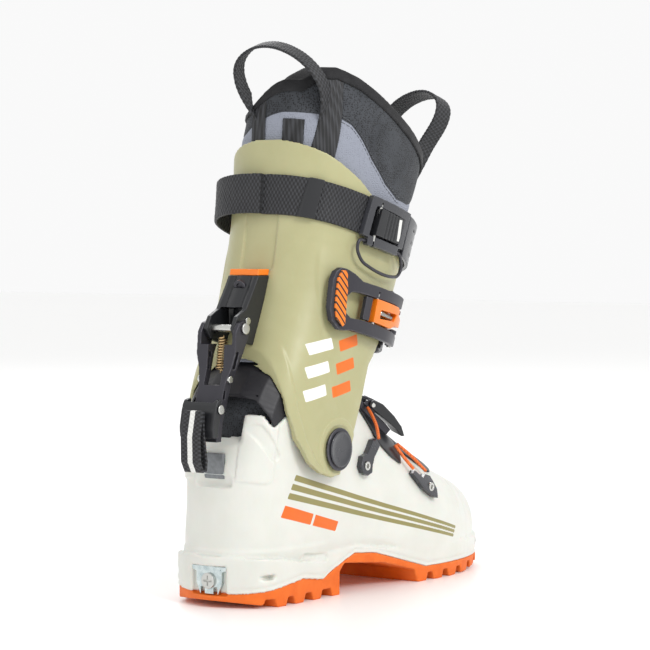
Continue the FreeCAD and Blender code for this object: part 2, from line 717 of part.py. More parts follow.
def make_bracket_screw():
    head = rod((-13.2, 0, 199.4), (-11.2, 0, 200.0), 4.6)
    socket = rod((-14, 0, 199.2), (-12.4, 0, 199.7), 2.4)
    return head.cut(socket)


def make_bracket_rivets():
    parts = []
    for side in (-1, 1):
        head = rod((-21, side * ARM_HALF, 178.5), (-21, side * (ARM_HALF + 1.2), 178.5), 2.4)
        parts.append(head)
    return Part.makeCompound(parts)


def make_lock_arm():
    """Pressed channel with a spring window; its foot drops over the heel catch."""
    outline = [(-23.4, 169.2), (-24, 176), (-28, 179), (-33, 177.5), (-36.6, 172), (-38.5, 150),
               (-44.5, 131), (-49, 116), (-50.5, 104), (-45.6, 104), (-43.6, 116),
               (-38.6, 130), (-32.8, 146), (-29.4, 158)]
    wide = side_prism(outline, -15.2, 15.2)
    face = [(-15.2, 200), (15.2, 200), (15.2, 158), (10.4, 140), (10.4, 90), (-10.4, 90), (-10.4, 140),
            (-15.2, 158)]
    corners = [Vector(-90, y, z) for y, z in face]
    front = Part.Face(Part.makePolygon(corners + corners[:1])).extrude(Vector(100, 0, 0))
    arm = wide.common(front)
    gap = block(-80, 0, -12.3, 12.3, 164, 190)
    window = side_prism([(-80, 170), (0, 170), (0, 139), (-80, 139)], -6.4, 6.4)
    hollow = side_prism([(-31, 166), (-35.2, 150), (-41.6, 131), (-46.2, 116), (-47.6, 100),
                         (-20, 100), (-10, 166)], -7.6, 7.6)
    slot = side_prism([(-33.6, 160), (-36, 159.4), (-37, 149), (-34.2, 148.4)], -30, 30)
    low_slot = side_prism([(-40.6, 136), (-42.6, 135.4), (-43.8, 130.6), (-42, 130)], -30, 30)
    arm = arm.cut(fused([gap, window, hollow])).cut(slot).cut(low_slot)
    return arm.cut(rod((-28, -30, 174), (-28, 30, 174), 2.5 + PIN_GAP))


def make_arm_pin():
    x, z = ARM_PIVOT
    pin = rod((x, -15.4, z), (x, 15.4, z), 2.5)
    heads = [rod((x, side * 15.4, z), (x, side * 17.0, z), 3.6) for side in (-1, 1)]
    return fused([pin] + heads)


def make_lock_spring():
    """Closed coil spring, drawn as its sleeve with a hook at each end."""
    start, end = (-29.6, 0, 168.5), (-33.0, 0, 147)
    sleeve = rod(start, end, 3.4).cut(rod(start, end, 2.2))
    return sleeve


def make_arm_rivets():
    parts = []
    for side in (-1, 1):
        parts.append(rod((-38.3, side * 10.6, 142.5), (-38.3, side * 12.6, 142.5), 2.3))
    return Part.makeCompound(parts).cut(make_lock_arm())


def make_release_lever():
    """Toggle behind the arm's foot that a pull on its strap lifts."""
    outline = [(-48.6, 131), (-52.5, 130), (-55.4, 124), (-57.6, 113), (-57, 107), (-52.2, 107),
               (-51.6, 114), (-49.4, 121)]
    cheeks = side_prism(outline, -13.4, 13.4).cut(block(-80, -30, -10.7, 10.7, 90, 140))
    bridge = side_prism([(-52.9, 129.5), (-54.4, 127), (-57.6, 113), (-57, 107), (-54.6, 107),
                         (-55.2, 113.4)], -13.4, 13.4)
    return cheeks.fuse(bridge).removeSplitter().cut(
        rod((-50.2, -30, 124.5), (-50.2, 30, 124.5), 2.0 + PIN_GAP))


def make_lever_pin():
    x, z = -50.2, 124.5
    parts = []
    for side in (-1, 1):
        shaft = rod((x, side * 8, z), (x, side * 13.6, z), 2.0)
        head = rod((x, side * 13.6, z), (x, side * 14.6, z), 3.0)
        parts.append(fused([shaft, head]))
    return Part.makeCompound(parts)


def make_release_strap():
    """Webbing loop through the toggle."""
    outer = [(-57.9, 124), (-60.6, 124), (-64, 108), (-63.6, 92), (-60, 85.4), (-56, 86),
             (-55, 92), (-57.2, 105.5), (-58, 113)]
    inner = [(-59.7, 119), (-62.2, 108), (-61.8, 93), (-59.4, 87.2), (-57.4, 88), (-57, 92.6),
             (-59, 105.5), (-59.6, 113)]
    return side_prism(outer, -7.5, 7.5).cut(side_prism(inner, -8, 8))


# ---- cuff buckle -----------------------------------------------------------
LEVER_NEAR = 5.0
LEVER_FAR = 8.4
BUCKLE_AXIS = (leg_point(45.4, -45.0, 74), leg_point(48.4, -46.8, 110))
BUCKLE_PIN_R = 1.5
KNUCKLE_R = 3.0
CATCH_AXIS = (outer_point(7.5, 80, 6.7), outer_point(8.5, 104, 6.7))


def outer_half(points):
    return leg_prism(points, -110, -12)


def ahead_of(line):
    """Everything in front of a buckle pin, seen along the leg."""
    start, end = between(line, -1, 2)
    along = (end - start).normalize()
    forward = leg_point(1, 0, 0) - leg_point(0, 0, 0)
    forward = (forward - along * forward.dot(along)).normalize()
    across = along.cross(forward)
    corners = [start - across * 40, start + across * 40, start + across * 40 + forward * 40,
               start - across * 40 + forward * 40]
    face = Part.Face(Part.makePolygon(corners + corners[:1]))
    return face.extrude(end - start)


def make_cuff_lever():
    """Forked lever that wraps round the outer side; its grip faces back."""
    outline = [(-33.5, 104), (-32, 109.5), (-29, 112.5), (-25, 112.5), (-19, 111), (-10, 107.3), (5, 107.6),
               (60, 108), (60, 101), (10, 100), (-12, 99.5), (-18.6, 98.8), (-22.3, 95), (-22.3, 88),
               (-21, 84.5), (-17, 82.3), (-7, 83), (10, 83.5), (60, 82.6), (60, 75.6), (6, 74.7),
               (-16, 74.5), (-22, 73), (-26, 73), (-31.5, 77.5), (-33.5, 85)]
    lever = leg_shell(LEVER_NEAR, LEVER_FAR, outer_half(outline)).cut(ahead_of(BUCKLE_AXIS))
    knuckles = [shaft(BUCKLE_AXIS, .05, .235, KNUCKLE_R), shaft(BUCKLE_AXIS, .76, .94, KNUCKLE_R)]
    lever = fused([lever] + knuckles)
    lever = lever.cut(shaft(BUCKLE_AXIS, -.1, 1.1, BUCKLE_PIN_R + PIN_GAP))
    return lever.cut(shaft(CATCH_AXIS, -.1, 1.1, 1.3))


def make_buckle_pins():
    return Part.makeCompound([shaft(BUCKLE_AXIS, .02, .36, BUCKLE_PIN_R),
                              shaft(BUCKLE_AXIS, .64, .98, BUCKLE_PIN_R)])


def make_grip_insert():
    side = outer_half([(-31.5, 105), (-29.4, 110.6), (-26.2, 111), (-24, 100), (-22.9, 77), (-25, 75),
                       (-29.6, 78.6), (-31.3, 86)])
    return leg_shell(LEVER_FAR + .05, LEVER_FAR + 1.6, side)


def make_lever_crossbar():
    """Plate between the lever's arms, with the pin that the catch turns on."""
    bar = leg_shell(4.8, 7.8, outer_half([(-4.4, 84), (2.4, 84.2), (3.2, 99.4), (-3.6, 99.2)]))
    return bar


def make_catch_pin():
    return shaft(CATCH_AXIS, .03, .97, 1.3)


def make_buckle_catch():
    """Hook block between the lever's arms."""
    side = outer_half([(5.4, 84.2), (28, 84), (34, 87), (46, 88), (46, 93), (39, 95), (40, 98), (36, 99.8),
                       (6, 99.4)])
    window = outer_half([(12, 87.6), (31, 89.4), (35, 94.6), (12, 93.4)])
    catch = leg_shell(4.4, 9.5, side).cut(window)
    return catch.cut(shaft(CATCH_AXIS, -.1, 1.1, 1.3 + PIN_GAP))


def make_catch_screw():
    """Threaded adjuster in the catch's window."""
    side = outer_half([(12.4, 88.4), (30.6, 89.9), (34, 93.8), (12.4, 92.8)])
    return leg_shell(4.8, 8.6, side)


def make_buckle_base():
    """Riveted plate that carries the lever's two hinge ears."""
    plate = leg_shell(.05, 2.2, outer_half([(34, 72), (54, 72), (57, 111), (36, 111)]))
    ears = []
    for low, high in ((.27, .345), (.65, .72)):
        knuckle = shaft(BUCKLE_AXIS, low, high, KNUCKLE_R)
        foot = leg_shell(.05, 6.0, outer_half([(42.5, 74 + 36 * low + .1), (49, 74 + 36 * low - 1.2),
                                               (49, 74 + 36 * high - 1.2), (42.5, 74 + 36 * high + .1)]))
        band = fused([foot, knuckle])
        limits = shaft(BUCKLE_AXIS, low, high, 30)
        ears.append(band.common(limits))
    base = fused([plate] + ears)
    return base.cut(shaft(BUCKLE_AXIS, -.1, 1.1, BUCKLE_PIN_R))


def make_ladder():
    """Toothed strap that runs round the front to the inner side."""
    side = leg_prism([(58, 80), (95, 73), (95, 91), (58, 99)], -44, 40)
    return leg_shell(2.3, 4.2, side)


# ---- instep closure --------------------------------------------------------
def foot_layer(near, far, side, low=-90.0, high=90.0):
    """A layer that follows the shell's outer face between two distances from it."""
    thick = foot_body(-far, [-far] * len(FOOT), -far, FOOT)
    core = foot_body(-near, [-near] * len(FOOT), -near, FOOT)
    return thick.common(side_prism(side, low, high)).cut(core)


def make_instep_shield():
    """Flexible cover under the buckle, draped over the instep."""
    side = [(84, 150), (86, 112), (89, 96), (99, 86), (109, 80), (114, 86), (118, 97), (124, 140)]
    return foot_layer(.1, 1.7, side)


def make_toe_shield():
    side = [(125.5, 140), (119.5, 97), (117.5, 88), (127, 83), (148, 71), (153, 73), (152, 82),
            (146, 120)]
    return foot_layer(.1, 1.7, side)


BUCKLE_START = Vector(95, -17, 122.5)
BUCKLE_ALONG = Vector(26, -13, -25).normalize()
BUCKLE_OUT = Vector(.5, -.45, .74)


def on_instep(shape):
    """Places a shape drawn with x along the buckle, z away from the shell."""
    along = BUCKLE_ALONG
    out = (BUCKLE_OUT - along * BUCKLE_OUT.dot(along)).normalize()
    side = out.cross(along)
    matrix = FreeCAD.Matrix(along.x, side.x, out.x, BUCKLE_START.x,
                            along.y, side.y, out.y, BUCKLE_START.y,
                            along.z, side.z, out.z, BUCKLE_START.z, 0, 0, 0, 1)
    placed = shape.copy()
    placed.transformShape(matrix)
    return placed


BUCKLE_PIN = (7.0, 3.4)     # along, out


def make_instep_base():
    """Riveted foot with two ears that hold the lever's pin."""
    foot = side_prism([(-2, -8), (30, -8), (30, -.2), (24, .6), (-2, .6)], -5.2, 5.2)
    ears = side_prism([(2, 0), (13, 0), (11, 5), (7, 6.6), (3, 5)], -6.4, 6.4)
    ears = ears.cut(block(-5, 30, -4.9, 4.9, .6, 20))
    hole = rod((BUCKLE_PIN[0], -20, BUCKLE_PIN[1]), (BUCKLE_PIN[0], 20, BUCKLE_PIN[1]), 1.5)
    base = on_instep(foot.fuse(ears).removeSplitter().cut(hole))
    clear = foot_body(-1.75, [-1.75] * len(FOOT), -1.75, FOOT)
    return base.cut(clear)


def make_instep_pin():
    x, z = BUCKLE_PIN
    return on_instep(rod((x, -9.2, z), (x, 9.2, z), 1.5))


def make_instep_lever():
    """Lever that winds the cable tight; it lies flat over the instep when closed."""
    side = side_prism([(4.2, 3.4), (5, 6.2), (12, 8.4), (24, 7.8), (33, 6.0), (39, 2.8), (37.6, 1.2),
                       (31, 2.2), (22, 2.0), (12, 1.4), (8, 1.2), (5, 1.6)], -9, 9)
    side = side.cut(block(-5, 11, -6.6, 6.6, -5, 20)).cut(block(10, 15.5, -6.6, 6.6, -5, 7.2))
    for start in (17, 21.5, 26):
        side = side.cut(block(start, start + 2.4, -6.2, 6.2, 6.6, 20))
    x, z = BUCKLE_PIN
    return on_instep(side.cut(rod((x, -20, z), (x, 20, z), 1.5 + PIN_GAP)))


def make_cable_anchors():
    """Swivel ends screwed to the shell that hold the two cables."""
    rear = foot_layer(.1, 4.4, [(60.8, 82), (62.4, 77.6), (67, 75.6), (71.8, 77.4), (73.4, 82),
                                (77, 87), (86, 94), (84.6, 98.6), (80, 98), (70, 89.6),
                                (64.4, 88.4)], -90, 0)
    front = foot_layer(.1, 4.4, [(116.4, 73), (120.6, 75), (128, 69.4), (133.6, 71.4), (138.6, 70),
                                 (141.4, 61), (139.4, 55), (134.4, 56.4), (125, 62.6)], -90, 0)
    hole = rod((67.2, -60, 82), (67.2, -20, 82), 3.05).fuse(rod((134, -60, 63), (134, -20, 63), 3.05))
    return Part.makeCompound([rear.cut(hole), front.cut(hole)])


def make_anchor_screws():
    parts = []
    for x, z, skin in ((67.2, 82, -39.5), (134, 63, -46.0)):
        shank = rod((x, skin - 4.6, z), (x, skin + 3, z), 3.0)
        socket = rod((x, skin - 6, z), (x, skin - 2.4, z), 1.4)
        core = foot_body(-.05, [-.05] * len(FOOT), -.05, FOOT)
        parts.append(shank.cut(core).cut(socket))
    return Part.makeCompound(parts)


CABLE_R = 1.1
ANKLE_CABLE = [(83.6, -41.2, 98.6), (88.6, -36.4, 106.4), (92.0, -29.6, 114.0), (94.2, -25.0, 117.8)]
TOE_CABLE_REAR = [(107.2, -38.2, 92.6), (112.6, -42.4, 83.6), (117.6, -46.4, 76.2)]
TOE_CABLE_FRONT = [(113.6, -35.6, 92.8), (124.0, -40.8, 84.0), (134.6, -45.0, 73.4)]


def make_ankle_cable():
    return tube(ANKLE_CABLE, CABLE_R)


def make_toe_cable():
    return Part.makeCompound([tube(TOE_CABLE_REAR, CABLE_R), tube(TOE_CABLE_FRONT, CABLE_R)])


# ---- writing ---------------------------------------------------------------
def save(name, shape):
    print(f"{name}: {len(shape.Solids)} solids, {shape.Volume:.0f} mm3, valid {shape.isValid()}")
    shape.exportStep(f"parts/{name}.step")


PARTS = {
    "outsole": make_outsole,
    "lower_shell": make_lower_shell,
    "heel_insert": make_heel_insert,
    "heel_insert_screw": make_heel_screw,
    "toe_inserts": make_toe_inserts,
    "boot_board": make_boot_board,
    "insole": make_insole,
    "liner_foot": make_liner_foot,
    "ankle_gaiter": make_gaiter,
    "pivot_rivets": make_pivot_rivets,
    "pivot_caps": make_pivot_caps,
    "lock_plate": make_lock_plate,
    "cuff_shell": make_cuff_shell,
    "power_strap": make_power_strap,
    "strap_keeper": make_strap_keeper,
    "strap_cam_frame": make_cam_frame,
    "strap_cam_lever": make_cam_lever,
    "strap_cam_pin": make_cam_pin,
    "strap_pull_ring": make_pull_ring,
    "strap_plate": make_strap_plate,
    "liner_cuff": lambda: upper_liner().cut(tongue_zone(.4)),
    "liner_tongue": lambda: upper_liner().common(tongue_zone(0)),
    "liner_binding": make_liner_binding,
    "rear_pull_loop": make_rear_loop,
    "front_pull_loop": make_front_loop,
    "side_webbing": make_side_webbing,
    "spine_bracket": make_spine_bracket,
    "bracket_trim": make_bracket_trim,
    "bracket_screw": make_bracket_screw,
    "bracket_rivets": make_bracket_rivets,
    "lock_arm": make_lock_arm,
    "lock_arm_pin": make_arm_pin,
    "lock_spring": make_lock_spring,
    "lock_arm_rivets": make_arm_rivets,
    "release_lever": make_release_lever,
    "release_lever_pin": make_lever_pin,
    "release_strap": make_release_strap,
    "cuff_lever": make_cuff_lever,
    "lever_grip_insert": make_grip_insert,
    "buckle_pins": make_buckle_pins,
    "lever_crossbar": make_lever_crossbar,
    "catch_pin": make_catch_pin,
    "buckle_catch": make_buckle_catch,
    "catch_screw": make_catch_screw,
    "buckle_base": make_buckle_base,
    "buckle_ladder": make_ladder,
    "instep_shield": make_instep_shield,
    "toe_shield": make_toe_shield,
    "instep_base": make_instep_base,
    "instep_pin": make_instep_pin,
    "instep_lever": make_instep_lever,
    "cable_anchors": make_cable_anchors,
    "anchor_screws": make_anchor_screws,
    "ankle_cable": make_ankle_cable,
    "toe_cable": make_toe_cable,
}


def main():
    os.makedirs("parts", exist_ok=True)
    for name, make in PARTS.items():
        save(name, make())


main()
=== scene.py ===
import json
import logging
import math
from dataclasses import dataclass, field, replace
from enum import Enum
from typing import Callable, Optional, Sequence

import bmesh
import bpy
import numpy as np
from mathutils import Matrix, Vector
from mathutils.bvhtree import BVHTree

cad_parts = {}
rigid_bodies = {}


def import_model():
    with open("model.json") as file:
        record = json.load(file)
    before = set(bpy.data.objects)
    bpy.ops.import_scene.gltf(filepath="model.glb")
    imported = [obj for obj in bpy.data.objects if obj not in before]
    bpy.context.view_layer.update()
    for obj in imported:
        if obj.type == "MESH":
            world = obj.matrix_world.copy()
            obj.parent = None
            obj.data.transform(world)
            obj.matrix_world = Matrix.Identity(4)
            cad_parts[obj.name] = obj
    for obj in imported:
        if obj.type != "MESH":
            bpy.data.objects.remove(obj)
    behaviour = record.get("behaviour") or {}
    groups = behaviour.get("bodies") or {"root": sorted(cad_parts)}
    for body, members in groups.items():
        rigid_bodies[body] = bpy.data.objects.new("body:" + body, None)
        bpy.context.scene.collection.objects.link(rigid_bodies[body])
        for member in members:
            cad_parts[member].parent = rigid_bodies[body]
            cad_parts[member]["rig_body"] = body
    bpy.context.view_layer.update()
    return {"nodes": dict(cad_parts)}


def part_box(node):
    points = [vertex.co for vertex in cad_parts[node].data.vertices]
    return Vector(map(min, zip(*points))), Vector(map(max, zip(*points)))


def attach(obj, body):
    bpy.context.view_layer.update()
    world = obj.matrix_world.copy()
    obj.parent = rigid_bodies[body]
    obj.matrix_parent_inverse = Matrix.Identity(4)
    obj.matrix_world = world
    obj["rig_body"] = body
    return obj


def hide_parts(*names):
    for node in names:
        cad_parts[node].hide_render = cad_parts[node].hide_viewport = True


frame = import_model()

# Looks of a ski-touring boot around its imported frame. Shapes are worked out in millimetres.

LOG = logging.getLogger("boot")
MM = 0.001
LEAN = math.radians(13.0)        # forward lean of the leg
PIVOT = (28.0, 96.0)             # cuff hinge in the side view, x and z
YARN_MM = 1.3                    # width that a yarn of the narrow webbing is drawn at

Points = np.ndarray
Shaper = Callable[[Points, Points], Points]


# ---- geometry helpers ----------------------------------------------------------------------
def to_leg(co: Points) -> tuple[Points, Points, Points]:
    """Leg coordinates of points.

    Args:
        co: Points in millimetres.
    Returns:
        Forward distance, sideways distance and height along the leaning leg.
    """
    dx, dz = co[:, 0] - PIVOT[0], co[:, 2] - PIVOT[1]
    c, s = math.cos(LEAN), math.sin(LEAN)
    return dx * c - dz * s, co[:, 1], dx * s + dz * c


def from_leg(p: float, y: float, q: float) -> Vector:
    """A point in millimetres from its leg coordinates."""
    c, s = math.cos(LEAN), math.sin(LEAN)
    return Vector((PIVOT[0] + p * c + q * s, y, PIVOT[1] - p * s + q * c))


def ramp(value: Points, low: float, high: float) -> Points:
    """Smooth step from 0 at low to 1 at high, either way round."""
    t = np.clip((value - low) / (high - low), 0.0, 1.0)
    return t * t * (3 - 2 * t)


def bell(value: Points, width: float) -> Points:
    """Bell curve of the given half width."""
    return np.exp(-(value / width) ** 2)


def plate_distance(u: Points, v: Points, centre: Sequence[float], half: Sequence[float],
                   corner: float, turn: float = 0.0) -> Points:
    """Signed distance into a rounded rectangle, positive inside.

    Args:
        u: First coordinate of the points.
        v: Second coordinate of the points.
        centre: Middle of the rectangle.
        half: Half sizes.
        corner: Corner radius.
        turn: Angle in degrees.
    Returns:
        One distance a point.
    """
    a = math.radians(turn)
    du, dv = u - centre[0], v - centre[1]
    ru, rv = du * math.cos(a) + dv * math.sin(a), -du * math.sin(a) + dv * math.cos(a)
    eu, ev = np.abs(ru) - half[0] + corner, np.abs(rv) - half[1] + corner
    outside = np.hypot(np.maximum(eu, 0), np.maximum(ev, 0))
    return corner - outside - np.minimum(np.maximum(eu, ev), 0)


def ripple(co: Points, size: float, seed: float) -> Points:
    """Gentle uneven swelling between -1 and 1 with bumps about size millimetres apart."""
    x, y, z = co.T / size
    return (np.sin(x * 2.1 + seed + 1.3 * np.sin(z * 1.7 + seed)) * np.cos(y * 1.9 - seed)
            + np.sin(z * 2.3 - y * 1.1 + 2 * seed)) / 2


def read_points(mesh: bpy.types.Mesh) -> Points:
    """A mesh's corners in millimetres."""
    co = np.empty(len(mesh.vertices) * 3)
    mesh.vertices.foreach_get("co", co)
    return co.reshape(-1, 3) / MM


def read_normals(mesh: bpy.types.Mesh) -> Points:
    """A mesh's corner normals."""
    out = np.empty(len(mesh.vertices) * 3, np.float32)
    mesh.vertex_normals.foreach_get("vector", out)
    return out.reshape(-1, 3)


def write_points(mesh: bpy.types.Mesh, co: Points) -> None:
    """Moves a mesh's corners to points in millimetres."""
    mesh.vertices.foreach_set("co", (co * MM).ravel())
    mesh.update()


def store(mesh: bpy.types.Mesh, name: str, values: Points) -> None:
    """Keeps a number or a vector for each corner, for the materials to read."""
    kind = "FLOAT_VECTOR" if values.ndim == 2 else "FLOAT"
    layer = mesh.attributes.get(name) or mesh.attributes.new(name, kind, "POINT")
    layer.data.foreach_set("vector" if values.ndim == 2 else "value", values.astype(np.float32).ravel())


def new_object(name: str, mesh: bpy.types.Mesh) -> bpy.types.Object:
    """Links a new object for a mesh, shaded smooth."""
    mesh.shade_smooth()
    made = bpy.data.objects.new(name, mesh)
    bpy.context.scene.collection.objects.link(made)
    return made


def mesh_from(name: str, verts: Sequence[Sequence[float]],
              faces: Sequence[Sequence[int]]) -> bpy.types.Mesh:
    """A mesh from points in millimetres and faces."""
    mesh = bpy.data.meshes.new(name)
    mesh.from_pydata([tuple(c * MM for c in v) for v in verts], [], [tuple(f) for f in faces])
    mesh.update()
    return mesh


def worn_edges(mesh: bpy.types.Mesh) -> Points:
    """How sharply each corner stands out.

    Args:
        mesh: The mesh.
    Returns:
        A number for each corner, from 0 on flat ground to 1 on a crest.
    """
    co, normals = read_points(mesh), read_normals(mesh)
    ends = np.empty(len(mesh.edges) * 2, np.int32)
    mesh.edges.foreach_get("vertices", ends)
    a, b = ends.reshape(-1, 2).T
    total, count = np.zeros_like(co), np.zeros(len(co))
    for i, j in ((a, b), (b, a)):
        np.add.at(total, i, co[j] - co[i])
        np.add.at(count, i, 1)
    bend = -(total / np.maximum(count, 1)[:, None] * normals).sum(1)
    size = np.linalg.norm(co[a] - co[b], axis=1).mean()
    return np.clip(bend / size * 4.0, 0.0, 1.0)


def remeshed(name: str, nodes: Sequence[str], voxel: float, passes: int) -> bpy.types.Object:
    """A fine even mesh with rounded edges, from CAD solids.

    Args:
        name: Name of the new piece.
        nodes: CAD nodes that it is made from.
        voxel: Mesh size in millimetres.
        passes: How often the edges are softened.
    Returns:
        The new object.
    """
    joined = bmesh.new()
    for node in nodes:
        joined.from_mesh(frame["nodes"][node].data)
    bmesh.ops.remove_doubles(joined, verts=joined.verts, dist=1e-6)
    mesh = bpy.data.meshes.new(name)
    joined.to_mesh(mesh)
    joined.free()
    rough = bpy.data.objects.new(name + "_rough", mesh)
    bpy.context.scene.collection.objects.link(rough)
    grid = rough.modifiers.new("grid", "REMESH")
    grid.mode = "VOXEL"
    grid.voxel_size = voxel * MM
    soft = rough.modifiers.new("soft", "SMOOTH")
    soft.factor = 0.5
    soft.iterations = passes
    graph = bpy.context.evaluated_depsgraph_get()
    fine = bpy.data.meshes.new_from_object(rough.evaluated_get(graph))
    bpy.data.objects.remove(rough)
    fine.name = name
    return new_object(name, fine)


def turned_part(name: str, profile: Sequence[Sequence[float]], start: Vector, axis: Vector,
                sides: int = 56) -> bpy.types.Mesh:
    """A lathe-turned mesh.

    Args:
        name: Name of the mesh.
        profile: (distance along the axis, radius) pairs.
        start: Where distance 0 is.
        axis: Direction of the axis.
        sides: Facets round the axis.
    Returns:
        The mesh.
    """
    axis = axis.normalized()
    across = axis.orthogonal().normalized()
    other = axis.cross(across)
    verts, faces = [], []
    for along, radius in profile:
        for i in range(sides):
            a = 2 * math.pi * i / sides
            verts.append(start + axis * along + (across * math.cos(a) + other * math.sin(a)) * radius)
    for ring in range(len(profile) - 1):
        for i in range(sides):
            j = (i + 1) % sides
            faces.append((ring * sides + i, ring * sides + j,
                          (ring + 1) * sides + j, (ring + 1) * sides + i))
    faces.append(tuple(reversed(range(sides))))
    faces.append(tuple(range((len(profile) - 1) * sides, len(profile) * sides)))
    return mesh_from(name, verts, faces)


def swept(name: str, route: Sequence[Vector], radius: float, sides: int = 10) -> bpy.types.Mesh:
    """A round wire along a route of points.

    Args:
        name: Name of the mesh.
        route: Points that the wire follows.
        radius: Radius of the wire.
        sides: Facets round the wire.
    Returns:
        The mesh, closed at both ends.
    """
    verts, faces = [], []
    across = (route[1] - route[0]).orthogonal().normalized()
    for i, point in enumerate(route):
        ahead = (route[min(i + 1, len(route) - 1)] - route[max(i - 1, 0)]).normalized()
        across = (across - ahead * across.dot(ahead)).normalized()
        other = ahead.cross(across)
        for k in range(sides):
            a = 2 * math.pi * k / sides
            verts.append(point + (across * math.cos(a) + other * math.sin(a)) * radius)
    for i in range(len(route) - 1):
        for k in range(sides):
            n = (k + 1) % sides
            faces.append((i * sides + k, i * sides + n, (i + 1) * sides + n, (i + 1) * sides + k))
    faces.append(tuple(reversed(range(sides))))
    faces.append(tuple(range((len(route) - 1) * sides, len(route) * sides)))
    return mesh_from(name, verts, faces)


def joined_mesh(name: str, meshes: Sequence[bpy.types.Mesh]) -> bpy.types.Mesh:
    """One mesh out of several."""
    whole = bmesh.new()
    for mesh in meshes:
        whole.from_mesh(mesh)
        bpy.data.meshes.remove(mesh)
    mesh = bpy.data.meshes.new(name)
    whole.to_mesh(mesh)
    whole.free()
    return mesh


def stitches(name: str, line: Sequence[Vector], pitch: float, length: float,
             radius: float) -> bpy.types.Mesh:
    """A row of sewn stitches along a line of points.

    Args:
        name: Name of the mesh.
        line: Points that the row follows.
        pitch: Distance from one stitch to the next.
        length: Length of a stitch.
        radius: Radius of the thread.
    Returns:
        The mesh.
    """
    runs = [(b - a).length for a, b in zip(line, line[1:])]
    total = sum(runs)
    meshes = []
    for k in range(int(total / pitch)):
        ends = []
        for at in (k * pitch, k * pitch + length):
            i, left = 0, at
            while i < len(runs) - 1 and left > runs[i]:
                left -= runs[i]
                i += 1
            ends.append(line[i].lerp(line[i + 1], min(left / max(runs[i], 1e-6), 1.0)))
        middle = ends[0].lerp(ends[1], 0.5)
        meshes.append(swept(name, [ends[0], middle, ends[1]], radius, 6))
    return joined_mesh(name, meshes)


# ---- finishes ------------------------------------------------------------------------------
def linear(colour: str) -> tuple[float, float, float, float]:
    """Linear colour from an sRGB hex value."""
    out = []
    for i in (1, 3, 5):
        c = int(colour[i:i + 2], 16) / 255
        out.append(c / 12.92 if c <= 0.04045 else ((c + 0.055) / 1.055) ** 2.4)
    return (out[0], out[1], out[2], 1.0)


def add(tree: bpy.types.NodeTree, kind: str, inputs: Optional[dict] = None, **settings) -> bpy.types.Node:
    """Adds a node.

    Args:
        tree: The material's node tree.
        kind: Node type.
        inputs: Socket name or number to a value or to another node's output.
        settings: Properties of the node.
    Returns:
        The node.
    """
    node = tree.nodes.new(kind)
    for key, value in settings.items():
        setattr(node, key, value)
    for key, value in (inputs or {}).items():
        if isinstance(value, bpy.types.NodeSocket):
            tree.links.new(value, node.inputs[key])
        else:
            node.inputs[key].default_value = value
    return node


class Surface(Enum):
    """How a surface was made."""
    MOULDED = "moulded"
    BRUSHED = "brushed"
    PLATED = "plated"
    WOVEN = "woven"
    KNITTED = "knitted"


